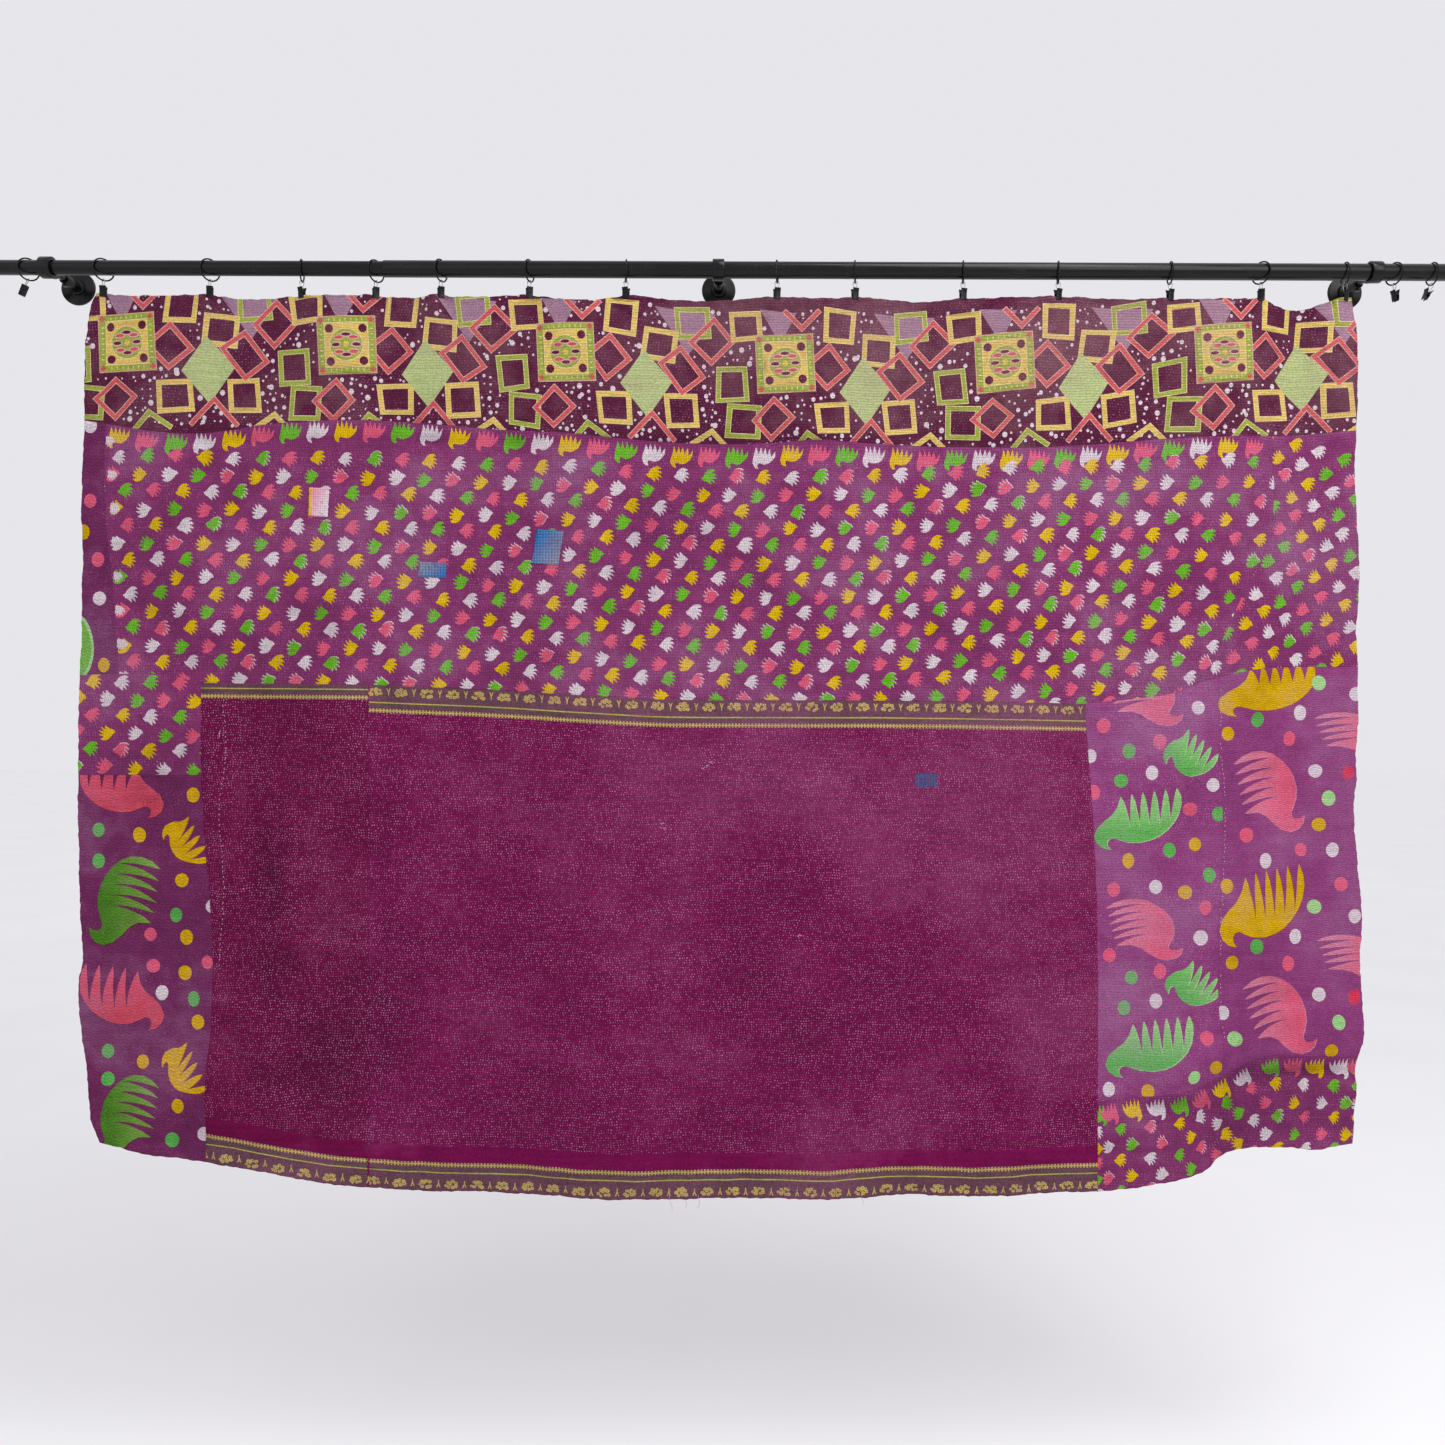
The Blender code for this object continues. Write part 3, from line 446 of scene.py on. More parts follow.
def smoothed(corners: Array, pitch: float) -> Array:
    """A smooth line through the corners, its points about a pitch apart."""
    along = way_along(corners)
    lengths = np.linalg.norm(np.diff(corners, axis=0), axis=1)
    slopes = np.gradient(corners, along, axis=0)
    places = np.linspace(0, along[-1], ceil(along[-1] / pitch) + 1)
    index = np.clip(np.searchsorted(along, places, side="right") - 1, 0, len(lengths) - 1)
    step = lengths[index][:, None]
    t = ((places - along[index]) / lengths[index])[:, None]
    start = (2 * t ** 3 - 3 * t ** 2 + 1) * corners[index]
    start += (t ** 3 - 2 * t ** 2 + t) * step * slopes[index]
    end = (3 * t ** 2 - 2 * t ** 3) * corners[index + 1]
    end += (t ** 3 - t ** 2) * step * slopes[index + 1]
    return start + end


def inside(points: Array, loop: Array) -> Array:
    """Which of the flat points lie in the loop."""
    found = np.zeros(len(points), bool)
    for (x0, z0), (x1, z1) in zip(loop, np.roll(loop, -1, axis=0)):
        if z0 == z1:
            continue
        crosses = (z0 > points[:, 1]) != (z1 > points[:, 1])
        found ^= crosses & (points[:, 0] < x0 + (points[:, 1] - z0) * (x1 - x0) / (z1 - z0))
    return found


def distances(points: Array, starts: Array, ends: Array) -> Array:
    """Distance from each flat point to the nearest of the segments."""
    nearest = np.full(len(points), np.inf)
    for start, end in zip(starts, ends):
        run = end - start
        offset = points - start
        share = np.clip(offset @ run / max(run @ run, 1e-14), 0, 1)
        nearest = np.minimum(nearest, np.linalg.norm(offset - share[:, None] * run, axis=1))
    return nearest


def closed(faces: list[list[int]], count: int) -> list[Sequence[int]]:
    """The faces of a closed sheet: its front, its back, count points further on, and its rim."""
    edges = {(face[i - 1], face[i]) for face in faces for i in range(len(face))}
    walls = sorted((b, a, a + count, b + count) for a, b in edges if (b, a) not in edges)
    return faces + [[i + count for i in reversed(face)] for face in faces] + walls


def in_scene(name: str, data: bpy.types.ID) -> Object:
    """A new object in the scene."""
    made = bpy.data.objects.new(name, data)
    bpy.context.scene.collection.objects.link(made)
    return made


def from_mesh(name: str, points: Sequence[Sequence[float]],
              faces: list[Sequence[int]]) -> Object:
    """A smooth object made of points and faces."""
    mesh = bpy.data.meshes.new(name)
    mesh.from_pydata(points, [], faces)
    mesh.shade_smooth()
    return in_scene(name, mesh)


def finished(made: Object, slot: str, *nodes: str) -> None:
    """Let a piece ride on the body, hide the imported parts that it stands for, and log its faces.
    """
    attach(made, BODY)
    if nodes:
        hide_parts(*nodes)
    LOG.info("%s: %d faces", made.name, len(made.data.polygons))


def flat_area(loop: Array) -> float:
    """Area within a flat loop, above zero where it runs anticlockwise."""
    after = np.roll(loop, -1, axis=0)
    return float((loop[:, 0] * after[:, 1] - loop[:, 1] * after[:, 0]).sum() / 2)




# Printed motifs


@dataclass(frozen=True)
class Motif:
    """A flat shape: outline, colour, a hole, a second colour along it, how much stitches show."""

    outline: Array
    tint: Tint
    hole: Array | None = None
    tip: Tint | None = None
    run: tuple[Vector, Vector] | None = None
    sewn: float = 1.0

    def colour_at(self, place: Array) -> tuple[float, ...]:
        """The print's colour at a flat point, in linear light."""
        near = self.tint.linear
        if self.tip is None:
            return *near, self.sewn
        start, end = self.run
        line = end - start
        share = min(1.0, max(0.0, (Vector(place) - start).dot(line) / line.length_squared))
        return *(a + (b - a) * share for a, b in zip(near, self.tip.linear)), self.sewn


def turning(degrees: float) -> Array:
    """The matrix that turns flat points anticlockwise."""
    angle = radians(degrees)
    return np.array([[cos(angle), sin(angle)], [-sin(angle), cos(angle)]])


def placed(shape: Array, x: float, z: float, width: float, height: float,
           turn: float = 0.0, mirror: bool = False) -> Array:
    """A unit shape turned, mirrored and fitted into a box.

    Args:
        shape: The outline, from -1 to 1 both ways.
        x: Middle of the box in millimetres.
        z: Middle of the box in millimetres.
        width: Width of the box in millimetres.
        height: Height of the box in millimetres.
        turn: Turn in degrees, anticlockwise.
        mirror: Whether the shape is mirrored left to right first.

    Returns:
        The placed outline in metres.
    """
    points = shape * np.array([-1.0 if mirror else 1.0, 1.0]) @ turning(turn)
    low, high = points.min(axis=0), points.max(axis=0)
    points = (points - (low + high) / 2) / (high - low) * np.array([width, height])
    return (points + np.array([x, z])) * MM


def oval(sides: int = 14) -> Array:
    """A round unit outline."""
    angles = np.arange(sides) * 2 * pi / sides
    return pairs(np.cos(angles), np.sin(angles))


SQUARE = np.array([(-1, -1), (1, -1), (1, 1), (-1, 1)], float)
# The tall leaf of the print's first row: fingers up, and a tail below that curls to the right.
CROWN = np.array(numbers("""
    -44 -96; -66 -99; -88 -80; -100 -48; -96 -8; -86 32; -76 96; -62 62; -50 34; -42 66; -36 100;
    -22 60; -13 30; -4 62; 4 96; 17 56; 25 24; 36 54; 47 88; 57 50; 61 18; 78 38; 98 68; 94 16;
    72 -22; 40 -50; 6 -60; -24 -52; -44 -47; -55 -62; -54 -80
""")) / 100
# The small leaf: a pointed tail on the left, a round back and fingers that fan out to the right.
LEAF = np.array(numbers("""
    -100 -8; -68 14; -48 52; -16 84; 24 98; 60 94; 88 70; 58 62; 40 44; 76 38; 100 10; 66 13;
    40 6; 72 -10; 94 -44; 60 -27; 28 -26; 52 -50; 62 -88; 34 -62; 4 -46; 18 -70; 14 -100; -14 -74;
    -40 -53; -70 -42; -82 -28
""")) / 100


def comb_shape(fingers: int, depth: float, bend: float, fan: float = 0.12,
               steps: int = 4) -> Array:
    """A paisley with a hooked tail at the lower left and clawed fingers along its top.

    Args:
        fingers: How many fingers it has.
        depth: Length of the gaps between them, 0 to 1 of its height.
        bend: How far the fingers lean back over the tail.
        fan: How far they spread.
        steps: Points along each side of a finger.

    Returns:
        The outline, about -1 to 1 both ways.
    """
    shares = np.linspace(0, 1, fingers)
    pitch = 1.20 / (fingers - 1)
    tips = pairs(-0.24 + 1.20 * shares, 0.70 + 0.30 * shares ** 0.7)
    roots = (tips[:-1] + tips[1:]) / 2 + np.array([0.06 * pitch, 0.0])
    roots[:, 1] = 0.84 - 2 * depth + 0.28 * shares[:-1] ** 2
    points = [(-0.58, -0.99), (-0.77, -0.95), (-0.92, -0.82), (-1.00, -0.60), (-0.94, -0.34),
              (-0.74, -0.10), (-0.52, 0.10), (-0.36, 0.34)]
    shares = np.arange(1, steps + 1)[:, None] / (steps + 1)
    side = np.concatenate([shares ** 0.62, shares], axis=1)
    for tip, root, following in zip(tips, roots, tips[1:]):
        points += [tuple(tip), *map(tuple, tip + (root - tip) * side), tuple(root)]
        points += map(tuple, following + (root - following) * side[::-1])
    points += [tuple(tips[-1]), (1.04, 0.76), (1.06, 0.48), (1.03, 0.18), (0.94, -0.10),
               (0.80, -0.34), (0.62, -0.53), (0.40, -0.67), (0.12, -0.76), (-0.16, -0.76),
               (-0.36, -0.69), (-0.51, -0.62), (-0.61, -0.64), (-0.67, -0.74), (-0.66, -0.87)]
    shape = np.array(points)
    above = np.maximum(0, shape[:, 1] + 0.3)
    shape[:, 0] += fan * (shape[:, 0] - 0.35) * above - bend * above ** 2
    return shape


class Comb(NamedTuple):
    """A large paisley of the border print: its box in millimetres, turn and fingers."""

    tint: Tint
    x: float
    z: float
    width: float
    height: float
    turn: float
    mirror: float
    fingers: float
    depth: float
    bend: float = 0.12
    fan: float = 0.12


# The paisleys of each panel, one row of a Comb's values each.
COMBS = {
    "left_border": "DEEP_CORAL -1011 -884 143 102 4 1 5 0.46; "
        "OCHRE -900 -972 85 80 -58 0 5 0.56 0.0 0.62; "
        "DEEP_GREEN -1004 -1075 122 151 -90 1 6 0.62 0.20; "
        "DEEP_CORAL -1010 -1239 143 114 4 1 5 0.58; "
        "OCHRE -900 -1358 78 86 -58 0 5 0.56 0.0 0.62; "
        "DEEP_GREEN -996 -1440 110 140 -90 1 6 0.62 0.20",
    "right_inner": "CORAL 726 -722 129 100 90 0 5 0.58 0.20; "
        "LEAF_GREEN 804 -817 92 80 -40 0 5 0.52 0.05 0.40; "
        "LEAF_GREEN 715 -930 146 105 0 0 6 0.58 0.02; "
        "CORAL 727 -1118 129 104 90 0 6 0.58 0.22; "
        "LEAF_GREEN 813 -1208 100 76 -40 0 5 0.52 0.05 0.40; "
        "LEAF_GREEN 736 -1317 146 107 0 0 6 0.58 0.02",
    "right_outer": "OCHRE 934 -709 172 94 0 0 6 0.34 0.02; "
        "CORAL 1081 -786 129 76 90 0 5 0.60 0.18; CORAL 939 -883 126 138 90 0 6 0.60 0.22; "
        "OCHRE 927 -1077 148 141 0 0 6 0.58 0.06; CORAL 1086 -1165 129 78 90 0 5 0.60 0.18; "
        "CORAL 955 -1262 124 131 90 0 6 0.60 0.22",
}
DOT_TINTS = {"w": Tint.PALE, "p": Tint.CORAL, "y": Tint.OCHRE, "g": Tint.LEAF_GREEN,
             "l": Tint.LIGHT_GREEN, "r": Tint.MADDER}
# Dots of the border print: colour letter, then x and z in millimetres.
DOTS = {
    "left_strip": "w-1066 -268; p-1066 -396; y-1077 -449; p-1052 -496; w-1049 -562; y-1042 -675",
    "left_border": "y-889 -895; g-1050 -955; y-980 -963; g-1051 -1008; y-907 -1040; g-918 -1099; "
                   "w-854 -1084; p-963 -1133; y-900 -1137; p-957 -1186; y-903 -1198; p-864 -1179; "
                   "w-943 -1232; g-887 -1242; y-880 -1281; g-1033 -1331; g-1031 -1377; "
                   "y-972 -1348; y-911 -1422; g-924 -1482; w-868 -1470",
    "right_inner": "p658 -772; w636 -824; g702 -815; p752 -799; w816 -741; w740 -852; g689 -866; "
                   "w840 -872; p641 -886; p803 -913; g851 -921; y812 -973; g769 -983; y701 -1002; "
                   "p676 -1051; w747 -1046; y795 -1054; g836 -1025; p829 -1080; w821 -1131; "
                   "p670 -1163; p755 -1189; g707 -1201; w748 -1240; g694 -1252; p832 -1301; "
                   "y847 -1350; l810 -1367; y735 -1394; w669 -1391",
    "right_outer": "l1025 -698; w1086 -717; w993 -749; g918 -761; y866 -785; p974 -793; "
                   "w1019 -848; r1073 -851; l1041 -894; y1026 -939; p898 -957; p995 -982; "
                   "w1048 -982; w933 -1001; y866 -1044; p1062 -1040; l1018 -1079; w1084 -1094; "
                   "w986 -1130; g919 -1147; y875 -1173; p974 -1176; w1025 -1228; r1085 -1232; "
                   "l1056 -1274; l876 -1300; y1044 -1322; w859 -1258",
}
COMB_TIPS = {Tint.CORAL: Tint.ROSE, Tint.DEEP_CORAL: Tint.CORAL, Tint.OCHRE: Tint.OCHRE,
             Tint.DEEP_GREEN: Tint.LIME, Tint.LEAF_GREEN: Tint.LIGHT_GREEN}
# Colours that show beside a shape where two printings did not meet.
STRAY_EDGES = {Tint.CORAL: Tint.ROSE, Tint.DEEP_CORAL: Tint.MAROON, Tint.OCHRE: Tint.RUST,
               Tint.DEEP_GREEN: Tint.MAROON, Tint.LEAF_GREEN: Tint.LIGHT_GREEN}
PALE_EDGES = {Tint.BRICK: Tint.PEACH, Tint.OLIVE: Tint.CREAM, Tint.TAN: Tint.CREAM}
LEAF_CYCLE = (Tint.PALE, Tint.GREEN, Tint.CORAL, Tint.MUSTARD)
CROWN_CYCLE = (Tint.MUSTARD, Tint.CORAL, Tint.GREEN, Tint.PALE)


@dataclass
class BorderPrint:
    """Large paisleys and dots on a plum ground."""

    dot_diameter: float = 24.0
    stray: tuple[float, float] = (0.0013, -0.0009)
    seed: int = 5

    def comb(self, comb: Comb) -> list[Motif]:
        """One large paisley, paler towards the tips of its fingers, over a stray edge."""
        shape = comb_shape(int(comb.fingers), comb.depth, comb.bend, comb.fan)
        outline = placed(shape, comb.x, comb.z, comb.width, comb.height, comb.turn,
                         bool(comb.mirror))
        upward = Vector(turning(comb.turn)[1])
        reach = upward * (abs(upward.x) * comb.width + abs(upward.y) * comb.height) / 2 * MM
        middle = Vector((comb.x * MM, comb.z * MM))
        return [Motif(outline + self.stray, STRAY_EDGES[comb.tint]),
                Motif(outline, comb.tint, None, COMB_TIPS[comb.tint],
                      (middle - reach * 0.5, middle + reach))]

    def motifs(self, panel: str) -> list[Motif]:
        """The shapes printed on one panel."""
        chance = np.random.default_rng(self.seed)
        found = []
        for row in filter(None, COMBS.get(panel, "").split("; ")):
            tint, *values = row.split()
            found += self.comb(Comb(Tint[tint], *map(float, values)))
        for entry in DOTS[panel].split("; "):
            x, z = (float(value) for value in entry[1:].split())
            wide = self.dot_diameter * chance.uniform(0.84, 0.98)
            tall = self.dot_diameter * chance.uniform(0.96, 1.10)
            shape = oval(20) + chance.normal(0, 0.014, (20, 2))
            found.append(Motif(placed(shape, x, z, wide, tall), DOT_TINTS[entry[0]]))
        if panel == "left_strip":
            found.append(Motif(placed(oval(20), -1092, -645, 66, 118), Tint.LIGHT_GREEN))
            found.append(Motif(placed(oval(20), -1094, -645, 62, 106), Tint.GREEN))
        return found


@dataclass
class LeafPrint:
    """Rows of small leaves under one row of tall ones, on a plum ground."""

    pitch_x: float = 48.4
    pitch_z: float = 29.0
    leaf_width: float = 26.5
    leaf_height: float = 26.5
    crown_width: float = 39.0
    crown_height: float = 37.0
    left: float = -1016.0
    columns: int = 42
    taper: float = 0.035
    row_shift: float = 1.6
    dip_at: float = 120.0
    dip_half: float = 470.0
    seed: int = 8

    def leaf(self, x: float, z: float, row: int, tint: Tint, squeeze: float, tilt: float,
             chance: np.random.Generator) -> list[Motif]:
        """One small leaf, facing left or right by its row, some with a stray edge."""
        shape = LEAF + chance.normal(0, 0.02, LEAF.shape)
        turn = (180 if row % 2 else 0) + tilt + chance.normal(0, 5)
        outline = placed(shape, x, z, self.leaf_width * squeeze * chance.uniform(0.94, 1.08),
                         self.leaf_height * squeeze ** 0.5 * chance.uniform(0.94, 1.06), turn)
        made = [Motif(outline, tint)]
        if tint is Tint.MUSTARD or chance.uniform() < 0.3:
            edge, rise = (Tint.RUST, -1) if tint is Tint.MUSTARD else (Tint.PALE, 1)
            made.insert(0, Motif(outline + chance.uniform(0.0005, 0.0014, 2) * (1, rise), edge))
        return made

    def crown(self, x: float, z: float, tint: Tint, squeeze: float, mirror: bool, tilt: float,
              chance: np.random.Generator) -> Motif:
        """One tall leaf of the first row."""
        shape = CROWN + chance.normal(0, 0.02, CROWN.shape)
        return Motif(placed(shape, x, z, self.crown_width * squeeze, self.crown_height, tilt,
                            mirror), tint)

    def main_rows(self, seam: Array) -> list[Motif]:
        """The leaves of the long panel, whose rows follow the seam above it."""
        chance = np.random.default_rng(self.seed)
        found = []
        for column in range(self.columns):
            x = self.across(column)
            z = np.interp(x, seam[:, 0] / MM, seam[:, 1] / MM) - 18 - 6 * self.dip(x)
            found.append(self.crown(x, z + chance.normal(0, 1), CROWN_CYCLE[column % 4],
                                    self.narrow(x), False, -3, chance))
        for row in range(15):
            start = (row // 2 + 3 * (row % 2)) % 4
            offset = 0.66 * (row % 2) + min(row, 2) * 0.08
            for column in range(-2, self.columns + 1):
                x = self.across(column, offset) + self.row_shift * row
                z = -322 - 31 * self.dip(x) - row * self.pitch_z - self.lean(x, row)
                tint = LEAF_CYCLE[(column + start) % 4]
                tilt = -14 * self.past(x, 720, 160)
                found += self.leaf(x + chance.normal(0, 1), z + chance.normal(0, 1), row, tint,
                                   self.narrow(x), tilt, chance)
        for row in range(8):
            z = -296 - row * 57.4
            x = np.interp(-z, (265, 690), (-1033, -1008))
            found += self.leaf(x, z, 0, Tint.PALE, 0.62, -60, chance)
        return found

    def across(self, column: int, offset: float = 0.0) -> float:
        """Where a leaf of the long panel stands: the columns draw together to the right."""
        return self.left + (column + offset) * (self.pitch_x - self.taper * column)

    def dip(self, x: float) -> float:
        """How much the rows sink in the middle of the panel, 0 to 1."""
        return exp(-((x - self.dip_at) / self.dip_half) ** 2)

    @staticmethod
    def past(x: float, start: float, length: float) -> float:
        """How far a place is along a stretch, 0 to 1."""
        return min(1.0, max(0.0, (x - start) / length))

    def narrow(self, x: float) -> float:
        """How narrow the leaves look towards the slanting seam on the right."""
        return 1 - 0.16 * self.past(x, 760, 150)

    @staticmethod
    def lean(x: float, row: int) -> float:
        """How far the rows drop towards that seam."""
        return max(0.0, x - 700) * 0.16 * min(1.0, row / 8)

    def side_rows(self, x0: float, z0: float, columns: int, rows: int, slope: float,
                  squeeze: float, shift: int) -> list[Motif]:
        """A slanting patch of leaves for a side panel.

        Args:
            x0: Left end of the first row in millimetres.
            z0: Height of the first row.
            columns: Leaves in a row.
            rows: How many rows.
            slope: Slope of the rows in degrees.
            squeeze: Width of the leaves against those of the long panel.
            shift: Where the colours start.

        Returns:
            The leaves.
        """
        chance = np.random.default_rng(self.seed + shift)
        run = radians(slope)
        found = []
        for row in range(rows):
            for column in range(columns):
                u = (column + (0.5 if row % 2 else 0.0)) * self.pitch_x * squeeze
                v = -row * self.pitch_z
                x = x0 + u * cos(run) - v * sin(run)
                z = z0 + u * sin(run) + v * cos(run)
                tint = LEAF_CYCLE[(column + shift + (row * 3) // 2) % 4]
                found += self.leaf(x + chance.normal(0, 1.2), z + chance.normal(0, 1.2), row,
                                   tint, squeeze, slope, chance)
        return found

    def foot_rows(self, head: Array) -> list[Motif]:
        """The foot strip: tall leaves along its head and rows that follow its curve."""
        chance = np.random.default_rng(self.seed + 3)
        found = []
        along = way_along(head)
        run = np.gradient(head, axis=0)
        tilt = np.degrees(np.arctan2(run[:, 1], run[:, 0]))
        tints = (Tint.CORAL, Tint.MUSTARD, Tint.PALE, Tint.GREEN)
        for row in range(7):
            depth = 22 if row == 0 else 26 + 26.5 * row
            pitch = 41.0 if row == 0 else 47.0
            for column in range(-1, 13):
                place = 12 + (column + (0.5 if row % 2 else 0.0)) * pitch
                index = int(np.clip(np.searchsorted(along / MM, place), 0, len(head) - 1))
                x, z = head[index] / MM - (0, depth)
                if row == 0:
                    found.append(self.crown(x, z, tints[column % 4], 0.86, True, tilt[index],
                                            chance))
                else:
                    tint = tints[(column + 3 * row) % 4]
                    found += self.leaf(x, z, row + 1, tint, 0.78, tilt[index] - 12, chance)
        return found


@dataclass
class TilePrint:
    """The top band: outlined squares, diamonds, tiles and dots in a loose repeat."""

    repeat: float = 372.0
    line: float = 6.4
    edge_line: float = 1.3
    dot_pitch: float = 13.0
    sink: float = 34.0
    sink_at: float = 260.0
    sink_half: float = 560.0
    seed: int = 21

    def frame(self, x: float, z: float, width: float, height: float, turn: float,
              tint: Tint, chance: np.random.Generator) -> list[Motif]:
        """A hand-drawn square outline with a pale line on both sides."""
        box = SQUARE + chance.normal(0, 0.05, SQUARE.shape)

        def ring(grow: float) -> Array:
            """The square's outline, larger by this much."""
            half = np.array([width / 2 + grow, height / 2 + grow])
            return (box * half @ turning(turn) + np.array([x, z])) * MM

        edge, line = self.edge_line, self.line
        return [Motif(ring(edge), PALE_EDGES[tint], ring(-line - edge)),
                Motif(ring(0), tint, ring(-line))]

    def bent(self, x: float, z: float, reach: float, opening: float, turn: float,
             tint: Tint) -> list[Motif]:
        """A bent bar, as the corner of a square that is cut off by the seam."""
        found = []
        for grow, colour in ((self.edge_line, PALE_EDGES[tint]), (0.0, tint)):
            half = self.line / 2 + grow
            arms = []
            for side in (-1, 1):
                angle = radians(turn - 90 + side * opening / 2)
                arms.append(np.array([cos(angle), sin(angle)]))
            outer = -(arms[0] + arms[1]) / np.linalg.norm(arms[0] + arms[1])
            corner = half / sin(radians(opening / 2))
            points = [outer * corner]
            for arm, side in ((arms[1], 1), (arms[0], -1)):
                square = np.array([-arm[1], arm[0]]) * side
                tips = [arm * (reach + grow) + square * half, arm * (reach + grow) - square * half]
                points += tips if side == 1 else tips[::-1]
                if side == 1:
                    points.append(-outer * corner)
            found.append(Motif((np.array(points) + np.array([x, z])) * MM, colour))
        return found

    def tile(self, x: float, z: float, size: float, turn: float) -> list[Motif]:
        """A plain ornamental tile: border, corners and a rosette in a disc."""
        kite = np.array([(0, -1), (1, 0), (0, 1), (-1, 0)], float)

        def piece(shape: Array, u: float, v: float, wide: float, tall: float, tint: Tint,
                  lean: float = 0.0) -> Motif:
            """A shape at a place on the tile, in shares of its size."""
            made = placed(shape, u * size / 2, v * size / 2, wide * size, tall * size, lean)
            return Motif(made @ turning(turn) + np.array([x, z]) * MM, tint)

        found = [piece(shape, 0, 0, wide, tall, tint) for shape, wide, tall, tint in (
            (SQUARE, 1.03, 1.03, Tint.PEACH), (SQUARE, 1, 1, Tint.OLIVE),
            (SQUARE, 0.78, 0.80, Tint.CREAM), (SQUARE, 0.74, 0.76, Tint.TAN),
            (oval(20), 0.60, 0.60, Tint.CREAM), (oval(20), 0.56, 0.56, Tint.OLIVE))]
        for step in range(8):
            way = radians(45 * step)
            near = np.array([cos(way), sin(way)])
            if step % 2:
                found.append(piece(kite, *(near * 1.25), 0.12, 0.12, Tint.BRICK))
                found.append(piece(oval(10), *(near * 0.82), 0.15, 0.15, Tint.MAROON))
            found.append(piece(oval(10), *(near * 0.36), 0.20, 0.10, Tint.PEACH, 45 * step))
            found.append(piece(oval(10), *(near * 0.36), 0.15, 0.06,
                               Tint.BRICK if step % 2 else Tint.MAROON, 45 * step))
        for side in (-1, 1):
            for step in range(-3, 4):
                found.append(piece(SQUARE, step * 0.19, side * 0.89, 0.02, 0.05, Tint.CREAM))
                found.append(piece(SQUARE, side * 0.88, step * 0.19, 0.05, 0.02, Tint.CREAM))
        found.append(piece(oval(10), 0, 0, 0.10, 0.10, Tint.TAN))
        return found

    def one_repeat(self, x: float, chance: np.random.Generator) -> list[Motif]:
        """The shapes of one repeat, which starts at x."""
        kite = np.array([(0.05, -1), (1, 0.1), (-0.1, 1), (-1, -0.05)], float)
        wedge = np.array([(-1, 1), (1, 0.8), (0.1, -1)], float)
        found = [Motif(placed(wedge, x + 306, -78, 104, 78), Tint.MAUVE),
                 Motif(placed(wedge, x + 92, -66, 62, 60), Tint.MAUVE)]

        def squares(text: str) -> None:
            """Add several outlined squares: place, size, turn and tint."""
            for row in text.split("; "):
                dx, z, width, height, turn, tint = row.split()
                found.extend(self.frame(x + float(dx), float(z), float(width), float(height),
                                        float(turn), Tint[tint], chance))

        squares("318 -62 56 50 4 OLIVE; 196 -62 52 58 -4 TAN; 36 -66 54 48 5 TAN; "
                "14 -166 52 58 4 OLIVE; 262 -104 56 52 -5 TAN; 186 -218 56 52 4 TAN; "
                "300 -214 54 56 4 TAN")
        found.append(Motif(placed(kite, x + 240, -172, 88, 116), Tint.SAGE))
        squares("34 -228 54 56 -3 OLIVE; 176 -134 56 56 42 BRICK; 300 -146 52 66 38 BRICK; "
                "352 -92 60 54 44 BRICK; 84 -222 54 50 46 BRICK")
        found += self.tile(x + 104, -128, 96, 3)
        found += self.bent(x + 250, -222, 58, 82, 0, Tint.BRICK)
        found += self.bent(x + 142, -246, 44, 96, 8, Tint.OLIVE)
        found += self.bent(x + 352, -246, 42, 100, -6, Tint.TAN)
        found += self.bent(x + 132, -68, 42, 88, 180, Tint.BRICK)
        return found

    def sunk(self, motif: Motif) -> Motif:
        """The motif lower where the band sags in its middle."""
        def lower(loop: Array) -> Array:
            """The loop moved down, most at the middle."""
            share = (loop[:, 0] / MM - self.sink_at) / self.sink_half
            return pairs(loop[:, 0], loop[:, 1] - self.sink * MM * np.exp(-share ** 2))

        return Motif(lower(motif.outline), motif.tint,
                     None if motif.hole is None else lower(motif.hole))

    def motifs(self) -> list[Motif]:
        """The whole band, its dots kept clear of the other shapes."""
        chance = np.random.default_rng(self.seed)
        shapes: list[Motif] = []
        for number in range(-4, 4):
            shapes += self.one_repeat(number * self.repeat + 10, chance)
        x, z = np.meshgrid(np.arange(-1090, 1100, self.dot_pitch),
                           np.arange(-262, -30, self.dot_pitch))
        places = pairs(x.ravel(), z.ravel()) + chance.normal(0, 3.2, (x.size, 2))
        free = np.ones(len(places), bool)
        for shape in shapes:
            centre = shape.outline.mean(axis=0)
            free &= ~inside(places * MM, centre + (shape.outline - centre) * 1.12)
        dots = []
        for place in places[free]:
            size = chance.choice([3.0, 4.0, 5.4, 7.2, 9.0], p=[0.28, 0.26, 0.22, 0.16, 0.08])
            dots.append(Motif(placed(oval(8), place[0], place[1], size, size * 1.12), Tint.PALE))
        return [self.sunk(motif) for motif in dots + shapes]


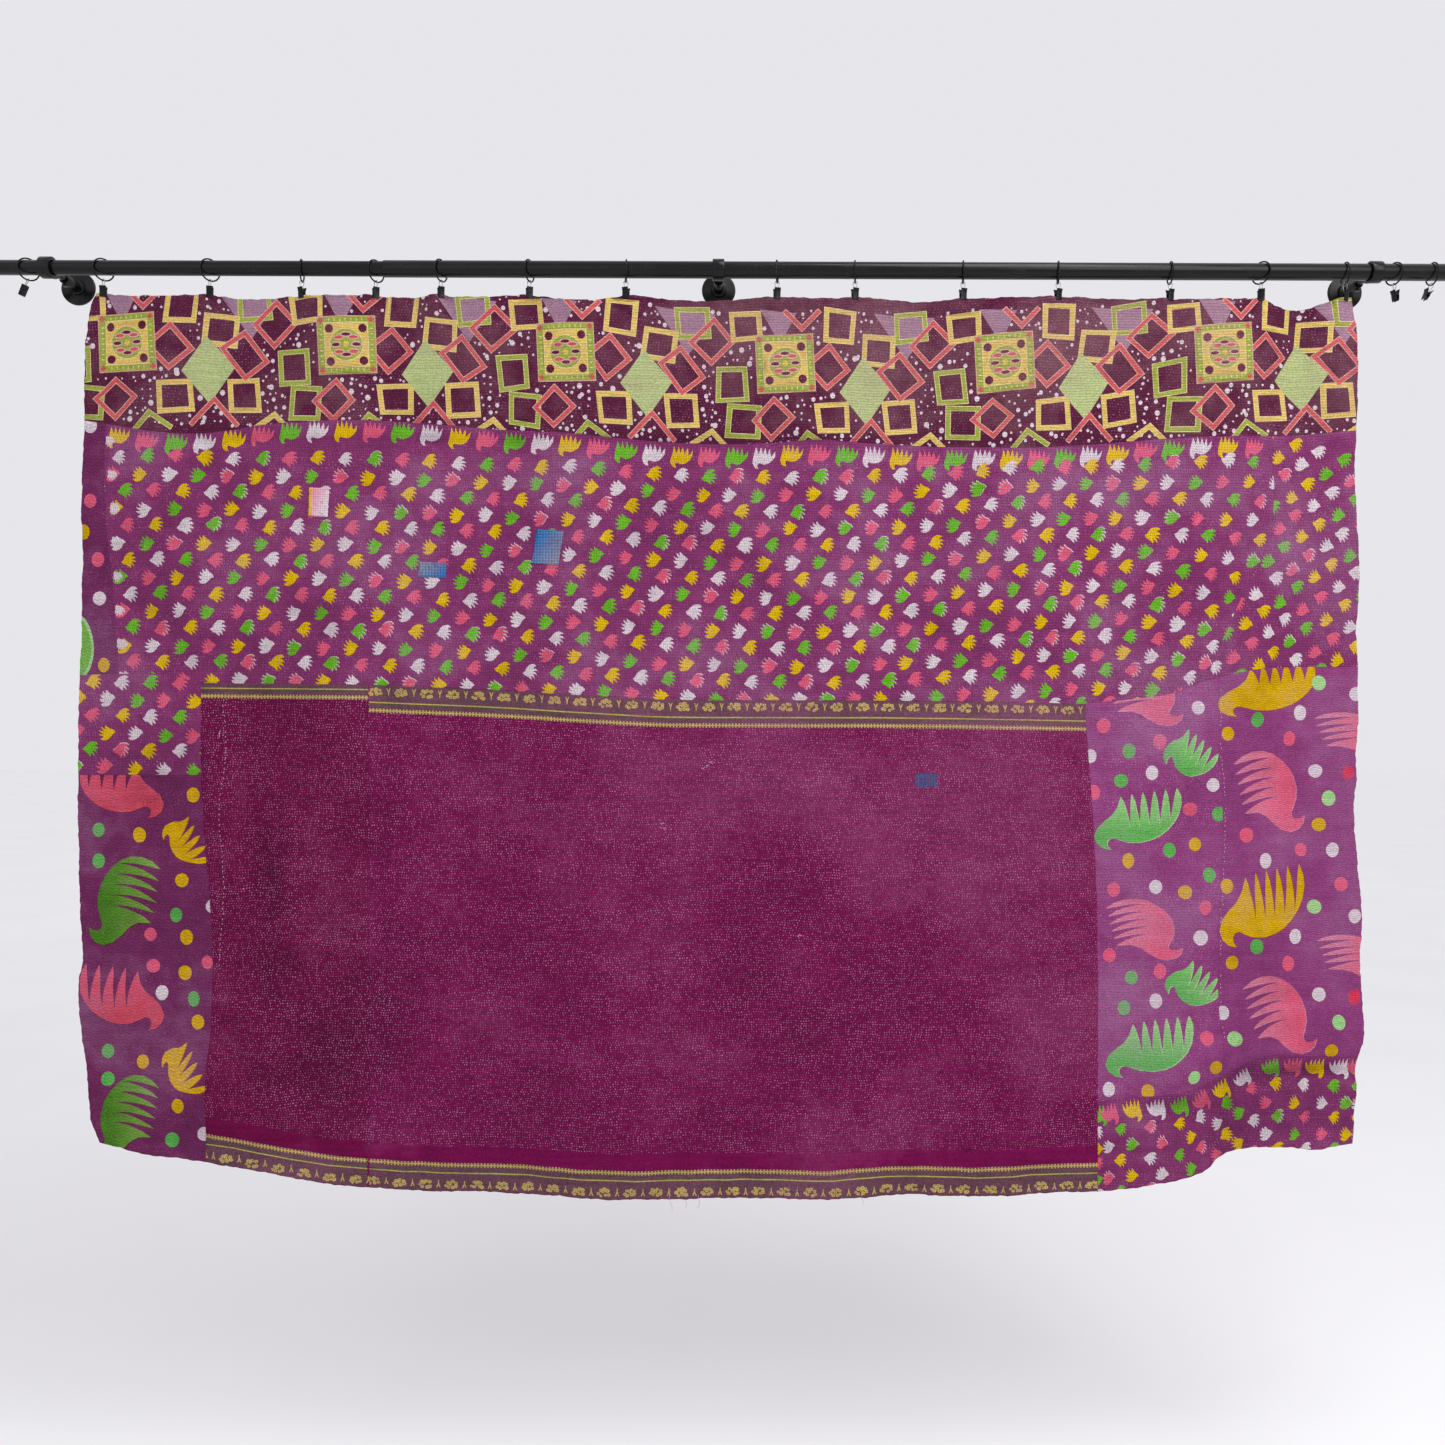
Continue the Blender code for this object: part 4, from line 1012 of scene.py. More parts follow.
@dataclass
class WovenBand:
    """A woven strip on the field: a ticked gold line, a fine one and a row of flowers."""

    inner: Array
    width: float
    outward: float
    flower_pitch: float = 43.6
    tick_pitch: float = 5.6

    def strip(self, left: float, right: float, near: float, far: float, tint: Tint,
              sewn: float = 0.3) -> Motif:
        """A long strip between two distances from the band's inner line, in metres."""
        x = np.linspace(left, right, max(2, round((right - left) / 0.03)))
        level = np.interp(x, self.inner[:, 0], self.inner[:, 1])
        low, high = level + near * self.outward, level + far * self.outward
        return Motif(np.concatenate([pairs(x, low), pairs(x, high)[::-1]]), tint, sewn=sewn)

    def motifs(self, left: float, right: float) -> list[Motif]:
        """The band's shapes from left to right."""
        chance = np.random.default_rng(3)
        found = [self.strip(left, right, 0, self.width, Tint.BAND),
                 self.strip(left, right, 0.0030, 0.0052, Tint.GOLD),
                 self.strip(left, right, 0.0138, 0.0166, Tint.BAND_GREEN),
                 self.strip(left, right, 0.0166, 0.0186, Tint.GOLD)]
        for x in np.arange(left, right - 0.003, self.tick_pitch * MM):
            found.append(self.strip(x, x + 0.0026, 0.0004, 0.0076, Tint.GOLD))
        if self.width < 0.04:
            return found
        petal = oval(7)
        sprig = np.array([(-0.2, -1), (0.2, -1), (0.25, -0.2), (1, 1), (0.5, 1), (0, 0.3),
                          (-0.5, 1), (-1, 1), (-0.25, -0.2)])
        for x in np.arange(left + 0.010, right - 0.010, self.flower_pitch * MM):
            level = np.interp(x, self.inner[:, 0], self.inner[:, 1])
            z = (level + (self.width - 0.0115) * self.outward) / MM
            for dx, dz in ((-9, -1), (-5, 4), (-5, -4), (-1, 1), (2, 5), (3, -4), (7, 3), (8, -3)):
                dx, dz = chance.normal((dx, dz), 0.6)
                size = chance.uniform(5.0, 7.6)
                found.append(Motif(placed(petal, x / MM + dx, z + dz, size, size * 0.9), Tint.GOLD,
                                   sewn=0.3))
                found.append(Motif(placed(petal, x / MM + dx, z + dz, 1.6, 1.6), Tint.BAND))
            found.append(Motif(placed(sprig, x / MM + self.flower_pitch / 2, z, 7.4,
                                      12.5 * self.outward), Tint.GOLD, sewn=0.3))
        return found


# Finishes


class Value:
    """A shader value that takes +, -, * and / as numbers do."""

    def __init__(self, nodes: "Nodes", socket: NodeSocket) -> None:
        """Wrap a node's output."""
        self.nodes, self.socket = nodes, socket

    def __add__(self, other: object) -> "Value":
        """The sum."""
        return self.nodes.math("ADD", self, other)

    def __sub__(self, other: object) -> "Value":
        """The difference."""
        return self.nodes.math("SUBTRACT", self, other)

    def __mul__(self, other: object) -> "Value":
        """The product."""
        return self.nodes.math("MULTIPLY", self, other)

    def __truediv__(self, other: float) -> "Value":
        """The share."""
        return self.nodes.math("DIVIDE", self, other)


class Nodes:
    """A material's node tree with short calls for the nodes that the finishes use."""

    def __init__(self, name: str) -> None:
        """Start a material of this name with its Principled shader."""
        self.material = bpy.data.materials.new(name)
        self.material.use_nodes = True
        self.tree = self.material.node_tree
        self.shader = self.tree.nodes["Principled BSDF"]
        self.place = self.output("Object", "ShaderNodeTexCoord")

    def output(self, key: int | str, kind: str, *values: object, **settings: object) -> Value:
        """One output of a new node."""
        return Value(self, self.add(kind, *values, **settings).outputs[key])

    def add(self, kind: str, *values: object, **settings: object) -> bpy.types.Node:
        """A new node with these properties, its first inputs fed in order."""
        node = self.tree.nodes.new(kind)
        for key, value in settings.items():
            setattr(node, key, value)
        for socket, value in zip(node.inputs, values):
            self.feed(socket, value)
        return node

    def feed(self, socket: NodeSocket, value: object) -> None:
        """Link a socket, or set its value."""
        if isinstance(value, Value):
            self.tree.links.new(value.socket, socket)
        else:
            socket.default_value = value

    def math(self, operation: str, *values: object, clamp: bool = False) -> Value:
        """A Math node's result."""
        return self.output(0, "ShaderNodeMath", *values, operation=operation, use_clamp=clamp)

    def mix(self, factor: object, first: object, second: object, blend: str = "MIX") -> Value:
        """A colour between two, or blended."""
        node = self.add("ShaderNodeMix", data_type="RGBA", blend_type=blend)
        for index, value in ((0, factor), (6, first), (7, second)):
            self.feed(node.inputs[index], value)
        return Value(self, node.outputs[2])

    def shaded(self, colour: object, shade: Value) -> Value:
        """A colour times a shade."""
        return self.mix(1.0, colour, self.join(shade, shade, shade), "MULTIPLY")

    def noise(self, vector: Value, scale: float, detail: float = 2.0) -> Value:
        """Noise from 0 to 1 on a vector."""
        node = self.add("ShaderNodeTexNoise", noise_dimensions="3D")
        for name, value in (("Vector", vector), ("Scale", scale), ("Detail", detail)):
            self.feed(node.inputs[name], value)
        return Value(self, node.outputs["Fac"])

    def smooth(self, value: Value, *limits: float) -> Value:
        """A value eased from one range to another, which is 0 to 1 when it isn't given."""
        return self.output(0, "ShaderNodeMapRange", value, *limits,
                           interpolation_type="SMOOTHSTEP")

    def join(self, *values: object) -> Value:
        """A vector from two or three values."""
        return self.output(0, "ShaderNodeCombineXYZ", *values)

    def apart(self) -> tuple[Value, Value]:
        """The x and z of a place on the object."""
        outputs = self.add("ShaderNodeSeparateXYZ", self.place).outputs
        return Value(self, outputs[0]), Value(self, outputs[2])

    def printed(self) -> tuple[Value, Value]:
        """The printed colour, and how much the stitches show on it."""
        outputs = self.add("ShaderNodeVertexColor", layer_name="print").outputs
        return Value(self, outputs["Color"]), Value(self, outputs["Alpha"])

    def surface(self, colour: object, roughness: object, gloss: float = 0.5,
                metallic: float = 0.0) -> None:
        """Give the shader its colour and how it shines."""
        for name, value in (("Base Color", colour), ("Roughness", roughness),
                            ("Specular IOR Level", gloss), ("Metallic", metallic)):
            self.feed(self.shader.inputs[name], value)

    def bump(self, height: Value, distance: float, strength: float) -> None:
        """Set the shader's normal from a height."""
        node = self.add("ShaderNodeBump")
        for name, value in (("Strength", strength), ("Distance", distance), ("Height", height)):
            self.feed(node.inputs[name], value)
        self.feed(self.shader.inputs["Normal"], Value(self, node.outputs[0]))


@dataclass(frozen=True)
class QuiltedFinish:
    """Printed and faded cotton, sewn through with rows of running stitches, with painted shade in
    the grooves between the rows and painted light and shade on their ripples.
    """

    name: str
    row_pitch: float = 0.0050
    stitch_pitch: float = 0.0052
    stitch_share: float = 0.30
    wave_height: float = 0.0
    wave_length: float = 0.0155
    # groove is how much painted shade darkens the grooves between rows; rib sets the ripples' bump
    # and their painted light and shade.
    groove: float = 0.10
    rib_pitch: float = 0.0038
    rib: float = 0.0
    thread_tint: Tint = Tint.SPECK
    thread_low: float = 0.0
    thread_high: float = 0.5
    thread_width: float = 0.20
    mottle: float = 0.10
    relief: float = 1.0
    faded: Triple = (0.36, 0.20, 0.34)
    fade_by_noise: float = 0.35
    weave_pitch: float = 0.0008

    def build(self) -> Material:
        """Make the material."""
        nodes = Nodes(self.name)
        x, z = nodes.apart()
        flat = nodes.join(x, z)
        dye, sewn = nodes.printed()
        wear_and_shade = nodes.output("Fac", "ShaderNodeAttribute", attribute_name="wear_and_shade")
        trench, thread, dash = (part * sewn for part in self.stitches(nodes, flat, x, z))
        ribs = self.ribs(nodes, flat, x, z)
        middle = nodes.noise(flat, 34.0, 3.0)
        drift = nodes.smooth(nodes.noise(flat, 5.0, 3.0), 0.35, 0.70, -0.5, 1.0)
        drift += nodes.smooth(middle, 0.30, 0.75, -0.35, 0.5)
        # This value holds faded dye, painted light and painted shade: above zero it pales the dye
        # towards the faded colour, below zero it deepens the colour.
        pale = wear_and_shade + drift * self.fade_by_noise
        colour = nodes.mix(nodes.math("MULTIPLY", pale, 0.50, clamp=True), dye,
                           (*self.faded, 1.0))
        deep = nodes.math("MULTIPLY", pale, -0.9, clamp=True)
        colour = nodes.mix(deep, colour, (0.25, 0.16, 0.25, 1.0), "MULTIPLY")
        turns = 2 * pi / self.weave_pitch
        weave = nodes.math("SINE", x * turns) * nodes.math("SINE", z * turns)
        shade = self.uneven_dye(nodes, flat, x, z) + weave * 0.04
        # Painted shade: darker down in the grooves between the stitch rows.
        shade *= (trench - 0.35) * -self.groove + 1.0
        # Painted light and shade: lighter and darker across the upright ripples.
        shade *= ribs * self.rib + 1.0
        colour = nodes.mix(thread, nodes.shaded(colour, shade), (*self.thread_tint.linear, 1.0))
        nodes.surface(colour, 1.0, 0.10)
        height = dash * 0.3 - trench + ribs * (4.0 * self.rib) + weave * 0.05 + middle * 1.3
        nodes.bump(height, 0.0011 * self.relief, 0.75)
        return nodes.material

    def stitches(self, nodes: Nodes, flat: Value, x: Value, z: Value) -> tuple[Value, ...]:
        """The sewn rows.

        Args:
            nodes: The material's nodes.
            flat: The place on the cloth as a flat vector.
            x: Its first value.
            z: Its second value.

        Returns:
            How deep in a row's groove a place is, how much of a thread's colour shows,
            and how far up on a stitch it is.
        """
        level = z + (nodes.noise(flat, 8.0, 1.0) - 0.5) * 0.016
        level += (nodes.noise(flat, 95.0, 1.0) - 0.5) * 0.0034
        if self.wave_height:
            turn = x * (2 * pi / self.wave_length) + nodes.noise(flat, 16.0, 1.0) * 11.0
            level += nodes.math("SINE", turn) * self.wave_height
        rows_down = level / self.row_pitch
        row = nodes.math("FLOOR", rows_down)
        across = nodes.math("ABSOLUTE", nodes.math("FRACT", rows_down) - 0.5)
        start = nodes.add("ShaderNodeTexWhiteNoise", noise_dimensions="1D")
        nodes.feed(start.inputs["W"], row)
        run = x / self.stitch_pitch + Value(nodes, start.outputs["Value"]) * 7.0
        run += nodes.noise(flat, 130.0, 1.0) * 1.3
        along = nodes.math("ABSOLUTE", nodes.math("FRACT", run) - 0.5)
        each = nodes.output("Value", "ShaderNodeTexWhiteNoise",
                            nodes.join(nodes.math("FLOOR", run), row), noise_dimensions="2D")
        half = self.stitch_share / 2
        stitch = nodes.smooth(along, half, half + 0.10, 1.0, 0.0) * nodes.smooth(
            across, 0.35 * self.thread_width, self.thread_width, 1.0, 0.0)
        trench = nodes.smooth(across, 0.05, 0.46, 1.0, 0.0)
        patchy = nodes.noise(nodes.join(x * 0.35, z), 26.0, 2.0)
        area = nodes.smooth(patchy, 0.36, 0.66, self.thread_low, self.thread_high)
        bright = nodes.smooth(each, 0.15, 0.95, 0.10, 1.0)
        return trench, nodes.math("MULTIPLY", stitch, area * bright, clamp=True), stitch

    def ribs(self, nodes: Nodes, flat: Value, x: Value, z: Value) -> Value:
        """The upright ripples between the rows, from -1 to 1."""
        bent = x + (nodes.noise(flat, 70.0, 1.0) - 0.5) * 0.010
        bent += nodes.math("SINE", z * 700.0) * 0.0005
        return nodes.math("SINE", bent * (2 * pi / self.rib_pitch))

    def uneven_dye(self, nodes: Nodes, flat: Value, x: Value, z: Value) -> Value:
        """Mottling and level streaks of the dye, about 1."""
        blots = nodes.noise(flat, 210.0, 2.0)
        streaks = nodes.noise(nodes.join(x * 0.06, z), 150.0, 2.0)
        dye = nodes.smooth(blots, 0.25, 0.75, 1 - self.mottle, 1 + self.mottle)
        dye += nodes.smooth(streaks, 0.3, 0.7, -0.5 * self.mottle, 0.5 * self.mottle)
        return dye * nodes.smooth(nodes.noise(flat, 420.0, 2.0), 0.25, 0.75, 0.92, 1.08)


@dataclass(frozen=True)
class PatchFinish:
    """Thin mending cotton with a coarse weave that shows threads of two shades."""

    name: str
    thread_pitch: float = 0.0050
    light: float = 1.32
    dark: float = 0.66
    ground: Tint = Tint.PLUM

    def build(self) -> Material:
        """Make the material."""
        nodes = Nodes(self.name)
        x, z = nodes.apart()
        turns = 2 * pi / self.thread_pitch
        check = (nodes.math("SINE", x * turns) + nodes.math("SINE", z * turns)) * 0.5
        blend = check * 0.5 + nodes.noise(nodes.place, 300.0, 2.0)
        shade = nodes.smooth(blend, 0.0, 1.0, self.dark, self.light)
        thin = nodes.smooth(nodes.noise(nodes.place, 150.0, 3.0), 0.50, 0.72, 0.0, 0.65)
        colour = nodes.mix(thin, nodes.printed()[0], (*self.ground.linear, 1.0))
        nodes.surface(nodes.shaded(colour, shade), 1.0, 0.10)
        nodes.bump(check, 0.0004, 0.6)
        return nodes.material


@dataclass(frozen=True)
class ThreadFinish:
    """Twisted cotton thread."""

    name: str
    tint: Tint

    def build(self) -> Material:
        """Make the material."""
        nodes = Nodes(self.name)
        twist = nodes.noise(nodes.place, 900.0, 2.0)
        shade = nodes.smooth(twist, 0.3, 0.7, 0.80, 1.12)
        nodes.surface(nodes.shaded((*self.tint.linear, 1.0), shade), 0.8)
        nodes.bump(twist, 0.0002, 0.5)
        return nodes.material


@dataclass(frozen=True)
class MetalFinish:
    """Painted or plated metal, with fine grain and rubbed places."""

    name: str
    colour: Triple
    rubbed: Triple
    metallic: float
    roughness: float
    gloss: float = 0.16
    roughness_span: float = 0.10
    grain: float = 260.0

    def build(self) -> Material:
        """Make the material."""
        nodes = Nodes(self.name)
        broad = nodes.noise(nodes.place, 22.0, 4.0)
        fine = nodes.noise(nodes.place, self.grain, 3.0)
        worn = nodes.smooth(broad * fine, 0.28, 0.46)
        colour = nodes.mix(worn, (*self.colour, 1.0), (*self.rubbed, 1.0))
        spread = self.roughness_span / 2
        rough = nodes.smooth(broad, 0.3, 0.7, self.roughness - spread, self.roughness + spread)
        nodes.surface(colour, rough, self.gloss, self.metallic)
        nodes.bump(fine, 0.00015, 0.35)
        return nodes.material


# Cloth pieces


@dataclass
class ClothPiece:
    """One panel of the patchwork as a closed sheet with its print in its faces."""

    form: ClothForm
    panel: str
    motifs: list[Motif]
    ground: Tint
    seam_pitch: float = 0.006
    ring_depths: Triple = (0.0007, 0.0020, 0.0046)
    grid_pitch: float = 0.0125
    grid_margin: float = 0.008
    edge_round: float = 0.0020
    seam_reach: float = 0.0032
    seam_dip: float = 0.42
    ease: float = 1.012

    def build(self, material: Material) -> Object:
        """Make the panel's object."""
        loop, outer = self.outline()
        rings = [self.drawn_in(loop, depth) for depth in self.ring_depths]
        flat = [loop, *(ring[inside(ring, loop)] for ring in rings), self.grid(loop)]
        count = sum(len(part) for part in flat)
        faces = [list(range(len(loop)))[::-1]]
        labels: list[tuple[int, bool]] = [(-1, False)]
        low, high = loop.min(axis=0), loop.max(axis=0)
        for number, motif in enumerate(self.motifs):
            for outline, is_hole in ((motif.outline, False), (motif.hole, True)):
                if (outline is None or (outline.max(axis=0) < low).any()
                        or (outline.min(axis=0) > high).any()):
                    continue
                flat.append(outline)
                order = list(range(count, count + len(outline)))
                faces.append(order if flat_area(outline) > 0 else order[::-1])
                labels.append((number, is_hole))
                count += len(outline)
        result = delaunay_2d_cdt([Vector(p) for p in np.concatenate(flat)], [], faces, 1, 1e-7)
        places = np.array([tuple(p) for p in result[0]])
        triangles, tops = self.sorted_faces(result[2], result[5], labels)
        made = self.sheet(places, triangles, tops, loop, outer)
        made.data.materials.append(material)
        return made

    def outline(self) -> tuple[Array, Array]:
        """The panel's outline as flat points, and which of its sides are outer edges."""
        points, outer = [], []
        for name in OUTLINES[self.panel].split():
            part = self.form.line(name, self.seam_pitch)[:-1]
            points.append(part)
            outer += [name.lstrip("-").startswith(OUTER_EDGES)] * len(part)
        return np.concatenate(points), np.array(outer)

    @staticmethod
    def drawn_in(loop: Array, depth: float) -> Array:
        """The clockwise loop moved inwards."""
        run = units(loop - np.roll(loop, 1, axis=0))
        following = np.roll(run, -1, axis=0)
        inward = units(pairs(run[:, 1] + following[:, 1], -(run[:, 0] + following[:, 0])))
        spread = np.maximum(0.4, (inward * pairs(run[:, 1], -run[:, 0])).sum(axis=1))
        return loop + inward * (depth / spread)[:, None]

    def grid(self, loop: Array) -> Array:
        """Points of a triangle grid well inside the loop."""
        low, high = loop.min(axis=0), loop.max(axis=0)
        levels = np.arange(low[1], high[1], self.grid_pitch * sqrt(0.75))
        x, z = np.meshgrid(np.arange(low[0], high[0], self.grid_pitch), levels)
        x = x + (np.arange(len(levels)) % 2)[:, None] * self.grid_pitch / 2
        points = pairs(x.ravel(), z.ravel())
        points = points[inside(points, loop)]
        return points[distances(points, loop, np.roll(loop, -1, axis=0)) > self.grid_margin]

    @staticmethod
    def sorted_faces(faces: list[list[int]], sources: list[list[int]],
                     labels: list[tuple[int, bool]]) -> tuple[list[list[int]], list[int]]:
        """The triangles that lie in the panel, each with the motif printed there.

        Args:
            faces: All triangles.
            sources: For each, the input loops that hold it.
            labels: For each input loop, its motif's number and whether it is a hole.

        Returns:
            The triangles, and for each the number of its topmost motif, or -1.
        """
        kept, tops = [], []
        for face, holders in zip(faces, sources):
            if 0 not in holders:
                continue
            marks = [labels[index] for index in holders]
            holes = {number for number, is_hole in marks if is_hole}
            kept.append(face)
            tops.append(max((number for number, is_hole in marks
                             if not is_hole and number not in holes), default=-1))
        return kept, tops

    def sheet(self, places: Array, triangles: list[list[int]], tops: list[int],
              loop: Array, outer: Array) -> Object:
        """The closed sheet over the flat triangles."""
        after = np.roll(loop, -1, axis=0)
        corners = places[np.array(triangles)]
        turn = np.cross(corners[:, 1] - corners[:, 0], corners[:, 2] - corners[:, 0])
        triangles = [face if sign > 0 else face[::-1] for face, sign in zip(triangles, turn)]
        from_outer = distances(places, loop[outer], after[outer])
        from_seam = distances(places, loop[~outer], after[~outer])
        round_off = np.clip(from_outer / self.edge_round, 0, 1)
        full = 0.18 + 0.82 * np.sqrt(1 - (1 - round_off) ** 2)
        full *= 1 - self.seam_dip * np.exp(-((from_seam / self.seam_reach) ** 2))
        half = (self.form.thickness / 2 * full)[:, None]
        middle = self.form.points(places[:, 0], places[:, 1])
        normal = self.form.normals(places[:, 0], places[:, 1])
        faces = closed(triangles, len(places))
        made = from_mesh("cloth_" + self.panel, [*middle + normal * half, *middle - normal * half],
                         faces)
        self.colour(made.data, places, triangles, tops, len(faces) - 2 * len(triangles))
        return made

    def colour(self, mesh: Mesh, places: Array, triangles: list[list[int]],
               tops: list[int], walls: int) -> None:
        """Write the print, and the fading with its painted light and shade, into the mesh's
        attributes.
        """
        ground, back = (*self.ground.linear, 1.0), (*Tint.BACKING.linear, 1.0)
        tones = []
        for face, top in zip(triangles, tops):
            if top < 0:
                tones += [ground] * 3
            else:
                tones += [self.motifs[top].colour_at(places[corner]) for corner in face]
        tones += [back] * len(tones) + [ground] * (4 * walls)
        printed = mesh.color_attributes.new("print", "FLOAT_COLOR", "CORNER")
        printed.data.foreach_set("color", np.array(tones, np.float32).ravel())
        front = self.form.wear_and_shade(places[:, 0], places[:, 1])
        # The back takes a third of the front's fading and painted light and shade, and is a little
        # deeper all over.
        worn = np.concatenate([front, 0.3 * front - 0.08])
        wear_and_shade = mesh.attributes.new("wear_and_shade", "FLOAT", "POINT")
        wear_and_shade.data.foreach_set("value", worn.astype(np.float32))

    def flat_size(self) -> tuple[tuple[float, float], float]:
        """The panel's flat size and area before it was hung."""
        loop, _ = self.outline()
        width, length = loop.max(axis=0) - loop.min(axis=0)
        area = abs(flat_area(loop)) * self.ease
        return (width * self.ease, length * self.ease), min(area, width * length * self.ease ** 2)


PANELS = {
    "top_band": ("maroon_print", Tint.MAROON),
    "left_strip": ("plum_print", Tint.LEFT_PLUM),
    "leaf": ("plum_print", Tint.PLUM),
    "right_leaf": ("plum_print", Tint.PLUM),
    "left_leaf": ("plum_print", Tint.PLUM),
    "left_border": ("plum_print", Tint.LEFT_PLUM),
    "field_left": ("plum_field", Tint.FIELD_DEEP),
    "field_right": ("plum_field", Tint.FIELD),
    "right_inner": ("plum_print", Tint.RIGHT_PLUM),
    "right_outer": ("plum_print", Tint.RIGHT_PLUM),
    "foot_strip": ("plum_print", Tint.PLUM),
}


@dataclass
class Quilt:
    """The patchwork: eleven panels with their prints."""

    form: ClothForm
    made: dict[str, Object] = field(default_factory=dict)

    def motifs(self, panel: str) -> list[Motif]:
        """What is printed on or woven into one panel."""
        line = self.form.line
        if panel == "top_band":
            return TilePrint().motifs()
        if panel in DOTS:
            return BorderPrint().motifs(panel)
        leaves = LeafPrint()
        if panel == "leaf":
            return leaves.main_rows(line("band_seam_middle", 0.02))
        if panel == "right_leaf":
            return leaves.side_rows(905, -262, 8, 19, -20, 0.88, 1)
        if panel == "left_leaf":
            return leaves.side_rows(-1108, -700, 7, 7, -2, 1.02, 2)
        if panel == "foot_strip":
            left, right = line("foot_head_left", 0.01), line("foot_head_right", 0.01)
            return leaves.foot_rows(np.concatenate([left[:-1], right]))
        side = panel.removeprefix("field_")
        left, middle, right = -0.882, -0.5905, 0.656
        ends = (left, middle) if side == "left" else (middle, right)
        depth = 0.026 if side == "left" else 0.047
        head = line("field_head_" + side, 0.02) - np.array([0, depth])
        foot = line("bottom_field_" + side, 0.02) + np.array([0, 0.0495])
        lower = WovenBand(foot, 0.049, -1)
        plain = lower.strip(*ends, -0.028, 0, PANELS[panel][1], 0.0)
        return [plain, *lower.motifs(*ends), *WovenBand(head, depth, 1).motifs(*ends)]

    def build(self) -> None:
        """Make every panel."""
        field_left = QuiltedFinish("quilted_plum_cotton", 0.0041, 0.0042, 0.30, 0.0007, 0.034, 0.16,
                                   thread_low=0.36, thread_high=0.64, thread_width=0.29,
                                   mottle=0.18, relief=0.7, faded=(0.32, 0.080, 0.20),
                                   fade_by_noise=0.25).build()
        left_border = QuiltedFinish("quilted_left_border", 0.0054, 0.0062, 0.24, 0.0012, 0.0132,
                                    0.21, thread_high=0.22, relief=1.2).build()
        materials = {
            "top_band": QuiltedFinish("quilted_tile_print", 0.0046, rib=0.03, thread_low=0.10,
                                      thread_high=0.42, mottle=0.12, faded=(0.30, 0.17, 0.18),
                                      fade_by_noise=0.30).build(),
            "field_left": field_left, "field_right": field_left,
            "left_strip": left_border, "left_border": left_border,
            "right_inner": QuiltedFinish("quilted_inner_border", 0.0044, 0.0050, 0.30, 0.0005,
                                         0.0165, 0.14, rib=0.05, thread_low=0.10,
                                         thread_high=0.55).build(),
            "right_outer": QuiltedFinish("quilted_right_border", 0.0039, 0.0052, 0.24, 0.0008,
                                         0.0155, 0.22, thread_high=0.24).build(),
        }
        leaf = QuiltedFinish("quilted_leaf_print", 0.0046, groove=0.05, rib=0.11,
                             thread_high=0.44).build()
        for panel, (slot, ground) in PANELS.items():
            piece = ClothPiece(self.form, panel, self.motifs(panel), ground)
            self.made[panel] = made = piece.build(materials.get(panel, leaf))
            finished(made, slot, "panel_" + panel)

    def declare(self, patches: list[Object], threads: dict[str, list[Object]]) -> None:
        """Work out each panel's flat size and area, and the threads and patches that lie on it."""
        # The first clip hangs free, at the left of those that hold the quilt.
        for panel, made in self.made.items():
            flat, area = ClothPiece(self.form, panel, [], PANELS[panel][1]).flat_size()
            extra = list(threads.get(panel, [])) + (patches if panel == "leaf" else [])


class PatchPlan(NamedTuple):
    """A mending patch: its middle, size and lean in millimetres, and its colours."""

    name: str
    x: float
    z: float
    width: float
    height: float
    near: Tint
    far: Tint
    lean: float
    tilt: float


PATCHES = (
    PatchPlan("patch_blue", -288, -473, 46, 58, Tint.BLUE, Tint.FADED_BLUE, 10, -3.5),
    PatchPlan("patch_blue_small", -485, -511, 46, 26, Tint.FADED_BLUE, Tint.BLUE, 2, -2),
    PatchPlan("patch_pale", -676, -398, 34, 48, Tint.ROSE, Tint.PALE, 2, -2),
)


